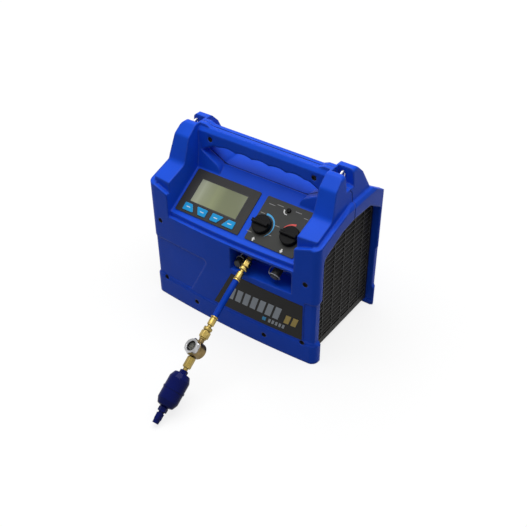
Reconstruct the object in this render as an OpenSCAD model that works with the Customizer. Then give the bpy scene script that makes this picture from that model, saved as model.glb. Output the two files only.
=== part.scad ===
// Portable refrigerant recovery machine: two moulded shells, louvred sides, a sloping control deck
// and a charging hose with sight glass and filter drier on the inlet port.
// Millimetres, +Z up, front towards -Y, origin on the ground under the middle of the case.

/* [Case] */
// Width across the side bands
case_w = 406; // [390:2:422]
// Depth between the middles of the bowed front and rear faces
case_d = 256; // [248:2:270]
// Height of the top of the side bands
band_top_z = 315; // [308:1:322]
// How far the front and rear faces bow out at the middle
bow = 9; // [5:0.5:12]
// Wall of the moulded shells
wall = 3.4; // [2.8:0.1:4]
// Radius of the upright corners of the case
corner_r = 14; // [8:1:18]
// Depth of the side bands from their outer face to the grille
band_depth = 17; // [13:1:21]
// Height of the bumper round the foot
bumper_h = 46; // [38:1:50]
// How far the bumper stands out from the front and rear faces
bumper_out = 1.5; // [1:0.5:4]
// Height of the step at the top of the waist
waist_z = 150; // [144:1:156]
// Depth of the waist on the sides
waist_in = 4; // [2:0.5:5]
// Depth of the shallow front panels in the waist
panel_in = 1.6; // [0.8:0.2:2]
// Height of the foot rails that carry the base tray
rail_h = 10; // [7:0.5:12]
// Thickness of the base tray
tray_t = 3; // [2:0.5:4]

/* [Towers and handle] */
// Height of the towers
tower_top_z = 377; // [372:1:384]
// Height of the top of the handle
handle_top_z = 372; // [368:1:376]
// Thickness of the handle from top to the crests of the finger grips
grip_h = 32; // [26:1:36]
// Depth of the handle from front to rear
grip_d = 34; // [28:1:38]
// Width of the hand gap under the handle
gap_w = 276; // [260:2:290]
// Height of the saddle under the handle
saddle_z = 297; // [292:1:302]
// Spacing of the finger grips
finger_pitch = 40; // [34:1:46]
// Depth of the finger grips
finger_depth = 4; // [2:0.5:6]
// Width of the strap pockets in the tower tops
pocket_w = 26; // [22:1:30]
// Wire diameter of the strap eyes
eye_wire_d = 4.5; // [3.5:0.25:5.5]
// Spacing of the two legs of a strap eye
eye_span = 15; // [13:0.5:16]

/* [Control deck] */
// Slope of the control deck
deck_tilt = 33.5; // [31:0.5:36]
// Width of the deck between the shoulders
deck_w = 304; // [300:1:310]
// Height of the front lip below the deck
lip_z = 214; // [211:1:217]
// Width of the step behind the front lip
lip_step = 7; // [5:0.5:9]
// Width of the display bezel
bezel_w = 158; // [152:1:160]
// Height of the display bezel along the slope
bezel_h = 97; // [92:1:99]
// Thickness of the bezel's and the valve panel's face plate
plate_t = 1.8; // [1.4:0.1:2.2]
// Width of the display window
window_w = 115; // [105:1:120]
// Height of the display window
window_h = 54; // [48:1:56]
// Mean width of a key
key_w = 22; // [18:0.5:25]
// Height of a key
key_h = 16; // [13:0.5:17]
// Spacing of the keys
key_pitch = 34.4; // [32:0.2:36]
// Height of a key above the bezel
key_proud = 1.4; // [1:0.1:2]
// Press travel of a key
key_travel = 0.8; // [0.5:0.1:1]
// Width of the valve panel
panel_w = 112; // [106:1:114]
// Spacing of the two valve knobs
knob_pitch = 65; // [58:1:68]
// Diameter of a knob
knob_d = 40; // [34:1:44]
// Height of a knob
knob_h = 17; // [13:1:20]
// Diameter of a valve stem
stem_d = 8; // [6:0.5:10]
// Diameter of the push button
button_d = 9; // [7:0.5:11]
// Press travel of the push button
button_travel = 2; // [1:0.25:2.5]

/* [Ports] */
// Downward slope of the two flare ports
port_pitch = 30; // [28:0.5:31]
// Distance between the two ports
port_gap = 66; // [60:1:70]
// Thread diameter of the flare ports
flare_d = 11.1; // [10:0.1:12]
// Width across flats of the port's hexagon
port_af = 18; // [16:0.5:19]
// Distance from the port recess to the right side of the case
recess_margin = 55; // [52:1:60]
// Height of the top of the port recess
recess_top_z = 209; // [207:0.5:210]
// Height of the floor of the port recess at its back
recess_floor_z = 161; // [157:1:164]

/* [Hose and filter] */
// Outer diameter of the charging hose
hose_d = 12.4; // [11:0.1:13]
// Diameter of the hose ferrules
ferrule_d = 14.8; // [14:0.2:16]
// Diameter of the swivel nuts
nut_d = 17; // [15.6:0.2:18]
// Diameter of the sight glass body
sight_d = 32; // [28:1:36]
// Diameter of the filter drier
filter_d = 43; // [38:1:43]
// Length of the filter drier between its necks
filter_l = 84; // [76:1:86]

/* [Side grilles] */
// Number of louvres in each grille
louvre_count = 24; // [18:1:26]
// Thickness of a louvre
louvre_t = 2.2; // [1.6:0.1:3]
// Number of upright ribs across the louvres
rib_count = 5; // [3:1:7]
// Thickness of the grille panel
grille_t = 6; // [5:0.5:7]

/* [Machinery] */
// Diameter of the drive motor
motor_d = 88; // [76:2:96]
// Diameter of the fan
fan_d = 150; // [130:2:156]
// Number of fan blades
blade_count = 7; // [5:1:9]
// Number of fins on the condenser
fin_count = 18; // [12:1:22]
// Number of tube passes in the condenser
pass_count = 6; // [4:1:7]
// Diameter of the copper lines
line_d = 8; // [6:0.5:10]

/* [Hidden] */
$fn = 48;
// Clearances
slip = 0.3;
run = 0.05;
press_gap = 0.4;
seam_gap = 0.5;
// Steps in each rounded corner of an outline
arc_steps = 5;
// Facets of the large bow circles, fine enough to follow the true arc
bow_fn = 720;

// Case
half_w = case_w / 2;
half_d = case_d / 2;
bow_r = (half_w * half_w + bow * bow) / (2 * bow);
out_y = half_d + 6;
below = 40;
above = 60;
band_in = half_w - band_depth;
corner_y = half_d - bow;
rim_z = lip_z + 52;
rail_y = corner_y - wall - 12;
tray_z = rail_h;
tray_top = tray_z + tray_t;
case_top = tower_top_z + above;

// Deck
deck_y = -half_d + 16;
deck_z = lip_z + 11;
deck_half = deck_w / 2;
saddle_y = deck_y + (saddle_z - deck_z) / tan(deck_tilt);
bezel_u = -deck_half + 6 + bezel_w / 2;
bezel_v = 5.5 + bezel_h / 2;
bezel_lip = 2.5;
bezel_depth = 10;
window_v = bezel_v + 3.5;
window_lap = 2.5;
key_v = bezel_v - bezel_h / 2 + 5.4 + key_h / 2;
key_slant = 5;
key_depth = 4.5;
panel_u = deck_half - 12.5 - panel_w / 2;
panel_v = bezel_v;
knob_v = panel_v - 11.5;
button_v = panel_v + 34.5;
knob_us = [panel_u - 2.5 - knob_pitch / 2, panel_u - 2.5 + knob_pitch / 2];
stem_r = stem_d / 2;

// Towers
tower_base_x = half_w - 10;
tower_top_x = half_w - 17;
tower_fill_z = tower_top_z - 46;
pocket_x = tower_top_x - 30;
pocket_z = tower_top_z - 26;
pocket_fall = 0.25;
eye_x = pocket_x + 15;
eye_rise = 20;
eye_root = 9;
grip_z = handle_top_z - grip_h;
shoulder_step = 10;

// Charging hose, from the upper ferrule to the lower one
hose_route = [
    [42, -154, 162], [42, -159, 159.1], [42, -164, 156.2], [42, -169, 153.3], [42.1, -174, 150.4],
    [42.2, -179, 147.5], [42.3, -184, 144.6], [42.5, -189, 141.7], [42.7, -194, 138.8],
    [42.9, -199, 135.9], [43.1, -204, 133], [43.3, -209, 130.1], [43.5, -214, 127.2],
    [43.75, -219, 124.3], [44, -224, 121.4]
];
hose_sides = 10;
hose_end_pitch = 30.4;
hose_end_yaw = 2.9;

// Ports, whose places follow from where the hose starts
port_reach = 63;
port_x = hose_route[0].x;
port_y = hose_route[0].y + port_reach * cos(port_pitch);
port_z = hose_route[0].z + port_reach * sin(port_pitch);
outlet_x = port_x + port_gap;
recess_x = port_x - 35;
recess_w = half_w - recess_margin - recess_x;
flare_r = flare_d / 2;
hex_l = 7;
flare_l = 22;
nut_start = hex_l + 7;
nut_l = 24;
neck_l = 6;
ferrule_l = port_reach - nut_start - nut_l - neck_l;
neck_r = 4.6;
tail_r = 6;
block_front = 30;

// Cap tethers
inlet_tether_route = [
    [30.4, -103.3, 191.2], [26.5, -106, 191], [23, -108.5, 189.5], [20.8, -110, 186.5], [20, -109.9, 182.4]
];
outlet_tether_route = [
    [96.5, -103.3, 191.2], [93, -106, 190], [91, -111, 187], [92, -116, 184], [94, -119, 182.2],
    [97.4, -120.2, 181.5]
];
tether_r = 1;
tether_gap = 0.3;
cap_r = 9;
cap_rib = 0.5;
cap_l = 21;
cap_ring_r = cap_r + cap_rib + tether_gap + tether_r;
cap_ring_at = 17;

// Fasteners
screw_head_r = 5.2;
screw_head_h = 3;
screw_shank_r = 1.9;
screw_l = 9;
screw_sink = 7.5;
boss_r = 8;
boss_l = 11.5;
grille_lap = 4;
face_screws = [[half_w - 26, rim_z - 72], [half_w - 29, bumper_h + 1], [half_w - 116, rail_h + 15]];
grip_screw = [gap_w / 2 - 16, handle_top_z - 21];

// Machinery
bracket_z = tray_top + 14;
bracket_t = 3;
bracket_top = bracket_z + bracket_t;
motor_x0 = -half_w + 45;
motor_l = half_w - 95;
motor_y = 12;
motor_foot_h = 8;
motor_z = bracket_top + motor_foot_h + motor_d / 2;
crank_x0 = motor_x0 + motor_l;
crank_l = 78;
crank_d = 92;
crank_h = 92;
head_h = 44;
head_fins = 6;
head_gap = 22;
shroud_t = 1.5;
coil_x0 = recess_x + recess_w + wall + shroud_t + 0.6;
coil_t = band_in - grille_t - 2 - coil_x0;
coil_x = coil_x0 + coil_t / 2;
coil_y = 2 * (corner_y - 26);
coil_top = lip_z - 6;
tube_over = 4;
fan_x = coil_x0 - 28;
fan_z = tray_top + 8 + fan_d / 2;
fan_hub_r = 26;
fan_hub_l = 22;
fan_shaft_r = 3;
fan_motor_r = 30;
fan_motor_l = 40;
fan_motor_x0 = fan_x - fan_hub_l / 2 - 4 - fan_motor_l;
duct_l = 34;
duct_gap = 3;

// Outline helpers. An outline is a list of [a, b, r] points, counter-clockwise, where r rounds the corner.
function unit(v) = v / norm(v);
function flat(p) = [p[0], p[1]];
function next(i, n) = (i + 1) % n;
function prev(i, n) = (i + n - 1) % n;
function rounded_corner(a, b, c) =
    let (
        u = unit(flat(a) - flat(b)),
        v = unit(flat(c) - flat(b)),
        half = acos(u * v) / 2,
        centre = flat(b) + unit(u + v) * b[2] / sin(half),
        start = flat(b) + u * b[2] / tan(half) - centre,
        first = atan2(start.y, start.x),
        sweep = (180 - 2 * half) * (cross(u, v) > 0 ? -1 : 1)
    )
    [for (i = [0 : arc_steps])
        let (a = first + sweep * i / arc_steps)
        centre + b[2] * [cos(a), sin(a)]];
function smooth(pts) =
    let (n = len(pts))
    [for (i = [0 : n - 1])
        each pts[i][2] > 0
            ? rounded_corner(pts[prev(i, n)], pts[i], pts[next(i, n)])
            : [flat(pts[i])]];
function left_normal(a, b) = let (u = unit(flat(b) - flat(a))) [-u.y, u.x];
function inset(pts, e) =
    let (n = len(pts))
    [for (i = [0 : n - 1])
        let (
            m = left_normal(pts[prev(i, n)], pts[i]),
            k = left_normal(pts[i], pts[next(i, n)]),
            moved = flat(pts[i]) + (m + k) * e / (1 + m * k),
            r = pts[i][2]
        )
        [moved.x, moved.y, r > 0 ? max(r + (cross(m, k) > 0 ? -e : e), 0) : 0]];
function mirrored(pts) = [for (i = [len(pts) - 1 : -1 : 0]) [-pts[i][0], pts[i][1], pts[i][2]]];
function rectangle(w, h, r) =
    [[-w / 2, -h / 2, r], [w / 2, -h / 2, r], [w / 2, h / 2, r], [-w / 2, h / 2, r]];

// Extrude an outline drawn as [y, z] along X, or one drawn as [x, z] along Y
module along_x(x0, x1) translate([x0, 0, 0]) rotate([90, 0, 90]) linear_extrude(x1 - x0) children();
module along_y(y0, y1) translate([0, y1, 0]) rotate([90, 0, 0]) linear_extrude(y1 - y0) children();
module both_sides() {
    children();
    mirror([1, 0, 0]) children();
}

// Frames: the deck's has X across, Y up the slope and Z out of it, and a port's has Z along its axis
module on_deck(u = 0, v = 0, w = 0) {
    translate([0, deck_y, deck_z]) rotate([deck_tilt, 0, 0]) translate([u, v, w]) children();
}
module on_port(x) translate([x, port_y, port_z]) rotate([90 + port_pitch, 0, 0]) children();
module on_hose_end() {
    translate(hose_route[len(hose_route) - 1]) rotate([90 + hose_end_pitch, 0, hose_end_yaw]) children();
}
function axis_of(pitch, yaw) = [sin(yaw) * cos(pitch), -cos(yaw) * cos(pitch), -sin(pitch)];

// Depth of the bowed face at x, and of the recess wall that the ports stand on
function face_y(x) = half_d - bow_r + sqrt(bow_r * bow_r - x * x);
function port_wall_y(z) = port_y - (z - port_z) * tan(port_pitch);

// A tube of the given radius swept along a route, with square ends along the given directions
module swept_tube(route, r, sides, first_dir, last_dir) {
    last = len(route) - 1;
    function tangent(i) = i == 0 ? first_dir : i == last ? last_dir : unit(route[i + 1] - route[i - 1]);
    function ring(i) =
        let (t = tangent(i), a = unit([1, 0, 0.001] - t * t.x), b = unit(cross(t, a)), c = cross(b, t))
        [for (j = [0 : sides - 1]) route[i] + r * (cos(360 * j / sides) * c + sin(360 * j / sides) * b)];
    side_faces = [
        for (i = [0 : last - 1], j = [0 : sides - 1])
            let (k = (j + 1) % sides)
            [i * sides + j, (i + 1) * sides + j, (i + 1) * sides + k, i * sides + k]
    ];
    polyhedron(
        points = [for (i = [0 : last]) each ring(i)],
        faces = concat(
            side_faces,
            [[for (j = [0 : sides - 1]) j]],
            [[for (j = [sides - 1 : -1 : 0]) last * sides + j]]
        )
    );
}

// A rigid line through the given points, with round corners
module pipe(pts, r) {
    for (i = [0 : len(pts) - 2]) {
        d = pts[i + 1] - pts[i];
        translate(pts[i])
            rotate([0, acos(d.z / norm(d)), atan2(d.y, d.x)])
            cylinder(r = r, h = norm(d), $fn = 24);
    }
    for (i = [1 : len(pts) - 2]) translate(pts[i]) sphere(r = r, $fn = 24);
}

module hexagon(af, h) cylinder(r = af / 2 / cos(30), h = h, $fn = 6);
module revolve(pts) rotate_extrude() polygon(smooth(pts));

// Plan of the case, grown by e all round: two bowed faces, straight sides and rounded corners
module plan(e) {
    r = corner_r + e;
    cx = half_w - corner_r;
    cy = face_y(cx) - corner_r;
    difference() {
        intersection() {
            translate([0, bow_r - half_d]) circle(r = bow_r + e, $fn = bow_fn);
            translate([0, half_d - bow_r]) circle(r = bow_r + e, $fn = bow_fn);
            square([2 * (half_w + e), 4 * half_d], center = true);
        }
        for (sx = [-1, 1], sy = [-1, 1]) {
            scale([sx, sy]) translate([cx, cy]) difference() {
                square(r + above);
                circle(r = r);
            }
        }
    }
}
module plan_form(e) {
    foot = e > 0 ? -1 : 0;
    translate([0, 0, foot]) linear_extrude(case_top) plan(-e);
    if (e == 0) linear_extrude(bumper_h) plan(bumper_out);
}

// Front silhouette of the case
front_right = [
    [half_w + 1.5, -below, 0], [half_w + 1.5, bumper_h - 2, 0], [half_w - waist_in, bumper_h + 6, 0],
    [half_w - waist_in, waist_z - 4, 0], [half_w, waist_z + 4, 0], [half_w, band_top_z - 9, 0],
    [half_w - 4, band_top_z - 2, 0], [tower_base_x, band_top_z, 0], [tower_top_x, tower_top_z, 8]
];
front_outline = concat(front_right, mirrored(front_right));

// Side outlines, as [y, z]
deck_outline = [
    [-out_y, -below, 0], [out_y, -below, 0], [out_y, saddle_z - 40, 0], [half_d * 0.52, saddle_z, 14],
    [saddle_y, saddle_z, 8], [deck_y, deck_z, 0], [-out_y, deck_z - 3, 0]
];
shoulder_outline = [
    [-out_y, -below, 0], [out_y, -below, 0], [out_y, band_top_z - 58, 0], [half_d * 0.55, band_top_z - 3, 14],
    [46, tower_top_z - 19, 12], [27, tower_top_z, 9], [-23, tower_top_z, 9], [-46, tower_top_z - 19, 12],
    [-half_d * 0.5, band_top_z - 9, 14], [-out_y, band_top_z - 34, 0]
];
band_outline = [
    [-out_y, -below, 0], [out_y, -below, 0], [out_y, band_top_z - 40, 0], [half_d * 0.55, band_top_z, 18],
    [-6, band_top_z, 24], [-corner_y, band_top_z - 38, 14], [-out_y, band_top_z - 60, 0]
];
opening_outline = [
    [-corner_y + 18, -below, 0], [corner_y - 13, -below, 0], [corner_y - 15, band_top_z - 62, 12],
    [half_d * 0.46, band_top_z - 34, 14], [0, band_top_z - 32, 20], [-half_d * 0.32, band_top_z - 39, 16],
    [-corner_y + 19, band_top_z - 66, 14]
];

// The outside of the case for e = 0, and the space inside its walls for e = wall
module case_form(e) {
    intersection() {
        plan_form(e);
        along_y(-out_y - below, out_y + below) polygon(smooth(inset(front_outline, e)));
        union() {
            translate([-band_in, -out_y, -below]) cube([2 * band_in, 2 * out_y, lip_z + below - e]);
            intersection() {
                along_x(-band_in, band_in) polygon(smooth(inset(deck_outline, e)));
                translate([0, 0, -below]) linear_extrude(case_top) plan(-lip_step - e);
            }
            both_sides() {
                intersection() {
                    along_x(deck_half + e, e > 0 ? band_in : tower_base_x)
                        polygon(smooth(inset(shoulder_outline, e)));
                    translate([0, 0, -below]) linear_extrude(case_top) plan(-shoulder_step - e);
                }
                along_y(-out_y, out_y) polygon([
                    [deck_half + e, 0], [band_in, 0], [band_in, band_top_z - 38 - e],
                    [deck_half + e, rim_z - e]
                ]);
                along_x(band_in, half_w + below) difference() {
                    polygon(smooth(inset(band_outline, e)));
                    polygon(smooth(inset(opening_outline, -e)));
                }
            }
        }
    }
}

// Handle between the towers, with a hand gap and finger grips along its underside
module handle_form() {
    half_gap = gap_w / 2;
    half_grip = grip_d / 2;
    edge = 8;
    fingers = floor((gap_w - 40) / finger_pitch);
    finger_r = (finger_pitch * finger_pitch / 4 + finger_depth * finger_depth) / (2 * finger_depth);
    section = [
        [half_grip, saddle_z - 20, 0], [half_grip, handle_top_z - edge, 0],
        [half_grip - edge + 1, handle_top_z, 0],
        [half_grip - edge + 1, tower_top_z, 0]
    ];
    top_right = [
        [deck_half + 8, saddle_z - 20, 0], [deck_half + 8, tower_top_z, 0], [half_gap, tower_top_z, 6],
        [half_gap - 12, handle_top_z, 6]
    ];
    gap_foot = half_gap - 42;
    gap_tip = [half_gap + 8, saddle_z + 26];
    gap_right = [[gap_foot, saddle_z, 20], [gap_tip.x, gap_tip.y, 3], [half_gap - 26, grip_z, 14]];
    web_base = saddle_z - 29;
    web_side = [
        [-half_grip - 8, web_base, 0], [half_d * 0.52, web_base, 0], [half_grip + 14, grip_z, 0],
        [-half_grip, grip_z, 0]
    ];
    web_front = [
        [gap_foot, web_base, 0], [deck_half + 8, web_base, 0], [deck_half + 8, grip_z, 0],
        [gap_tip.x, grip_z, 0], [gap_tip.x, gap_tip.y, 0], [gap_foot, saddle_z, 20]
    ];
    intersection() {
        along_x(-deck_half - 8, deck_half + 8) polygon(smooth(web_side));
        both_sides() along_y(-half_d, half_d) polygon(smooth(web_front));
    }
    intersection() {
        along_x(-deck_half - 8, deck_half + 8) polygon(smooth(concat(section, mirrored(section))));
        along_y(-grip_d, grip_d) difference() {
            polygon(smooth(concat(top_right, mirrored(top_right))));
            polygon(smooth(concat(gap_right, mirrored(gap_right))));
            for (i = [0 : fingers - 1]) {
                translate([(i - (fingers - 1) / 2) * finger_pitch, grip_z + finger_depth - finger_r])
                    circle(r = finger_r, $fn = 96);
            }
        }
    }
}
module handle_core() {
    half = gap_w / 2 - 34;
    height = grip_h - 2 * wall - finger_depth;
    translate([-half, -grip_d / 2 + wall, handle_top_z - wall - height])
        cube([2 * half, grip_d - 2 * wall, height - 4]);
}

// Strap pockets in the tower tops, and the holes for the legs of the strap eyes
function pocket_floor(x) = pocket_z - (x - pocket_x) * pocket_fall;
module pocket_cuts() {
    both_sides() {
        along_y(-pocket_w / 2, pocket_w / 2) polygon([
            [pocket_x, pocket_z], [half_w + below, pocket_floor(half_w + below)],
            [half_w + below, case_top], [pocket_x, case_top]
        ]);
        for (s = [-1, 1]) translate([eye_x, s * eye_span / 2, pocket_floor(eye_x) - eye_root])
            cylinder(d = eye_wire_d + 2 * run, h = above);
    }
}

// Foot rails under the front and rear walls
module foot_rails() {
    linear_extrude(rail_h) difference() {
        plan(-wall / 2);
        square([2 * half_w + below, 2 * rail_y], center = true);
    }
}

// Screw bosses and holes in a bowed face, for the face towards -Y
module at_face_screws() {
    for (s = face_screws, side = [-1, 1])
        translate([side * s.x, -face_y(s.x), s.y]) rotate([-90, 0, 0]) children();
}
module at_grip_screws() {
    for (side = [-1, 1])
        translate([side * grip_screw.x, -grip_d / 2, grip_screw.y]) rotate([-90, 0, 0]) children();
}
module face_bosses() at_face_screws() translate([0, 0, wall / 2]) cylinder(r = boss_r, h = boss_l - wall / 2);
module screw_hole() {
    translate([0, 0, -bumper_out - 1]) cylinder(r = screw_head_r + slip, h = screw_sink + bumper_out + 1);
    cylinder(r = screw_shank_r + run, h = screw_sink + screw_l + 1);
}
module screw() {
    translate([0, 0, screw_sink - screw_head_h]) difference() {
        cylinder(r = screw_head_r, h = screw_head_h);
        translate([0, 0, -1]) hexagon(3, 3);
    }
    translate([0, 0, screw_sink]) cylinder(r = screw_shank_r, h = screw_l);
}

// Region in front of the seam, with the small jog that it makes on the towers' sides
module front_region() {
    jog = 5;
    jog_z = band_top_z - 9;
    translate([-half_w - below, -out_y - below, -below])
        cube([2 * (half_w + below), out_y + below, case_top + below]);
    both_sides() along_x(deck_half + 8, half_w + below) polygon([
        [-jog, jog_z], [0, jog_z], [jog, jog_z + jog], [jog, jog_z + 28], [0, jog_z + 28 + jog],
        [-jog, jog_z + 28 + jog]
    ]);
}

// Walls of both shells before they are parted
module case_walls() {
    difference() {
        union() {
            case_form(0);
            handle_form();
        }
        both_sides() along_x(band_in, half_w + below) polygon(smooth(opening_outline));
        difference() {
            case_form(wall);
            translate([-half_w, -half_d, tower_fill_z]) cube([case_w, case_d, case_top]);
        }
        handle_core();
        pocket_cuts();
    }
    foot_rails();
}

// Port recess in the front
recess_fall = 3;
recess_outline = [
    [-out_y, recess_floor_z - recess_fall, 0], [port_wall_y(recess_floor_z), recess_floor_z, 0],
    [port_wall_y(recess_top_z), recess_top_z, 0], [-out_y, recess_top_z, 0]
];
module recess_pocket() {
    intersection() {
        along_x(recess_x - wall, recess_x + recess_w + wall) polygon(smooth(inset(recess_outline, -wall)));
        translate([0, 0, -below]) linear_extrude(case_top) plan(-wall / 2);
    }
}
module recess_cut() {
    along_x(recess_x, recess_x + recess_w) polygon(smooth(recess_outline));
    for (x = [port_x, outlet_x])
        on_port(x) translate([0, 0, -below]) cylinder(r = tail_r + slip, h = 2 * below);
}

// Shallow panels in the waist, on the left of the front and at its right edge
module waist_panels() {
    far = half_w + below;
    difference() {
        along_y(-out_y - 1, -half_d / 2) {
            polygon(smooth([
                [-far, bumper_h + 6, 0], [-half_w / 2, bumper_h + 6, 8], [-half_w / 4, waist_z, 8],
                [-far, waist_z, 0]
            ]));
            polygon(smooth([
                [half_w - 27, bumper_h + 6, 6], [far, bumper_h + 6, 0], [far, waist_z, 0],
                [half_w - 27, waist_z, 6]
            ]));
        }
        translate([0, 0, -below]) linear_extrude(case_top) plan(-panel_in);
    }
}

// Openings in the deck for the display and the valve stems
module deck_cuts() {
    on_deck(bezel_u, bezel_v, -2 * wall) linear_extrude(4 * wall)
        square([bezel_w - 2 * bezel_lip, bezel_h - 2 * bezel_lip], center = true);
    for (u = knob_us) on_deck(u, knob_v, -2 * wall) cylinder(r = stem_r + 2 * slip, h = 4 * wall);
    on_deck(panel_u, button_v, -2 * wall) cylinder(d = button_d + 4 * slip, h = 4 * wall);
}

module front_shell() {
    color("royalblue") difference() {
        union() {
            intersection() {
                case_walls();
                front_region();
            }
            face_bosses();
            recess_pocket();
        }
        recess_cut();
        waist_panels();
        deck_cuts();
        at_face_screws() screw_hole();
        at_grip_screws() screw_hole();
    }
}

// Appliance inlet pad on the rear
inlet_u = -half_w + 73;
inlet_z = bumper_h + 24;
inlet_w = 48;
inlet_h = 28;
inlet_seat = face_y(inlet_u - inlet_w / 2) - 2;
module inlet_pad() {
    translate([inlet_u - inlet_w / 2 - wall, inlet_seat - wall, inlet_z - inlet_h / 2 - wall])
        cube([inlet_w + 2 * wall, wall + 1, inlet_h + 2 * wall]);
}
module inlet_cut() {
    translate([inlet_u - inlet_w / 2 - slip, inlet_seat, inlet_z - inlet_h / 2 - slip])
        cube([inlet_w + 2 * slip, above, inlet_h + 2 * slip]);
    translate([inlet_u - inlet_w / 2 + 9, inlet_seat - above, inlet_z - inlet_h / 2 + 3])
        cube([inlet_w - 18, 2 * above, inlet_h - 6]);
}

module rear_shell() {
    color("royalblue") difference() {
        union() {
            difference() {
                case_walls();
                translate([0, seam_gap, 0]) front_region();
            }
            rotate([0, 0, 180]) face_bosses();
            inlet_pad();
        }
        rotate([0, 0, 180]) at_face_screws() screw_hole();
        rotate([0, 0, 180]) at_grip_screws() screw_hole();
        inlet_cut();
    }
}

module base_tray() {
    edge = 1.5;
    tray_x = band_in - edge;
    tray_y = corner_y - wall - edge;
    color("dimgray") {
        translate([-tray_x, -tray_y, tray_z]) cube([2 * tray_x, 2 * tray_y, tray_t]);
        for (y = [-0.5, 0, 0.5])
            translate([-tray_x + 20, y * tray_y - 3, tray_z - 3]) cube([2 * tray_x - 40, 6, 3]);
    }
}

// Louvred side panel, drawn for the right side
grille_outline = inset(opening_outline, -grille_lap);
module side_grille() {
    border = 7;
    sill = tray_top + 14;
    top = band_top_z - 34;
    pitch = (top - sill) / louvre_count;
    lean = pitch * 0.5;
    x0 = band_in - grille_t;
    louvre_x0 = x0 + 0.5;
    louvre_x1 = band_in - 1;
    intersection() {
        translate([x0 - 1, -half_d, tray_top]) cube([grille_t + 2, case_d, case_top]);
        union() {
            along_x(x0, band_in) difference() {
                polygon(smooth(grille_outline));
                intersection() {
                    polygon(smooth(inset(opening_outline, border)));
                    translate([-half_d, sill]) square([case_d, case_top]);
                }
            }
            intersection() {
                along_x(x0 - 1, band_in + 1) polygon(smooth(inset(opening_outline, border - 1.3)));
                union() {
                    for (i = [0 : louvre_count - 1]) {
                        z = sill + (i + 0.37) * pitch;
                        along_y(-corner_y, corner_y) polygon([
                            [louvre_x0, z + lean], [louvre_x1, z], [louvre_x1, z + louvre_t],
                            [louvre_x0, z + lean + louvre_t]
                        ]);
                    }
                    for (i = [1 : rib_count]) {
                        y = -corner_y + 18 + i * (case_d - 2 * bow - 31) / (rib_count + 1);
                        translate([x0 + 1, y - 1.2, sill - 1.3]) cube([grille_t - 1.6, 2.4, top]);
                    }
                }
            }
        }
    }
}
module right_grille() color("black") side_grille();
module left_grille() color("black") mirror([1, 0, 0]) side_grille();

// Steel wire hoop that stands in a strap pocket
module strap_eye() {
    z0 = pocket_floor(eye_x);
    r = eye_span / 2;
    top = z0 + eye_rise - r;
    for (s = [-1, 1])
        translate([eye_x, s * r, z0 - eye_root]) cylinder(d = eye_wire_d, h = top - z0 + eye_root);
    translate([eye_x, 0, top]) rotate([90, 0, 90])
        rotate_extrude(angle = 180) translate([r, 0]) circle(d = eye_wire_d);
}
module right_strap_eye() color("silver") strap_eye();
module left_strap_eye() color("silver") mirror([1, 0, 0]) strap_eye();

module front_screws() {
    color("dimgray") {
        at_face_screws() screw();
        at_grip_screws() screw();
    }
}
module rear_screws() rotate([0, 0, 180]) front_screws();

// Keys under the display: the inner sides of each outer pair lean, as slant gives
key_slants = [[0, key_slant], [key_slant, 0], [0, -key_slant], [-key_slant, 0]];
module key_outline(i, grow) {
    w = key_w / 2;
    h = key_h / 2;
    s = key_slants[i];
    polygon(smooth(inset([
        [-w + s[0], -h, 1.5], [w + s[1], -h, 1.5], [w - s[1], h, 1.5], [-w - s[0], h, 1.5]
    ], -grow)));
}
module at_key(i) on_deck(bezel_u + (i - 1.5) * key_pitch, key_v, plate_t) children();
module key(i) {
    color("deepskyblue") at_key(i) translate([0, 0, -plate_t - key_depth])
        linear_extrude(key_depth + plate_t + key_proud) key_outline(i, 0);
}
module key_1() key(0);
module key_2() key(1);
module key_3() key(2);
module key_4() key(3);

module display_bezel() {
    body = [bezel_w - 2 * bezel_lip - 2 * slip, bezel_h - 2 * bezel_lip - 2 * slip];
    rim = 2;
    color("black") difference() {
        union() {
            on_deck(bezel_u, bezel_v, 0)
                linear_extrude(plate_t) polygon(smooth(rectangle(bezel_w, bezel_h, 3)));
            on_deck(bezel_u, bezel_v, -bezel_depth) linear_extrude(bezel_depth) square(body, center = true);
        }
        on_deck(bezel_u, bezel_v, -bezel_depth - 1) linear_extrude(bezel_depth + 1)
            square([body.x - 2 * rim, body.y - 2 * rim], center = true);
        on_deck(bezel_u, window_v, -1)
            linear_extrude(plate_t + 2) square([window_w, window_h], center = true);
        on_deck(bezel_u, window_v, plate_t / 2) linear_extrude(plate_t)
            square([window_w + 2 * window_lap, window_h + 2 * window_lap], center = true);
        for (i = [0 : 3])
            at_key(i) translate([0, 0, -plate_t - 1]) linear_extrude(plate_t + 2) key_outline(i, slip);
    }
}
module display_window() {
    color("darkseagreen") on_deck(bezel_u, window_v, plate_t / 2) linear_extrude(plate_t / 2 - 0.2)
        square([window_w + 2 * window_lap - 2 * run, window_h + 2 * window_lap - 2 * run], center = true);
}
module display_module() {
    color("gray") on_deck(bezel_u, window_v + 1, -bezel_depth + 2)
        linear_extrude(bezel_depth - 2) square([window_w + 8, window_h + 6], center = true);
}
module display_board() {
    color("darkgreen") on_deck(bezel_u, bezel_v, -bezel_depth) linear_extrude(2)
        square([bezel_w - 2 * bezel_lip - 6, bezel_h - 2 * bezel_lip - 6], center = true);
}

module valve_panel() {
    color("dimgray") difference() {
        on_deck(panel_u, panel_v, 0) linear_extrude(plate_t) polygon(smooth(rectangle(panel_w, bezel_h, 3)));
        for (u = knob_us) on_deck(u, knob_v, -1) cylinder(r = stem_r + 2 * slip, h = plate_t + 2);
        on_deck(panel_u, button_v, -1) cylinder(d = button_d + 2 * slip, h = plate_t + 2);
    }
}

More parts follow.
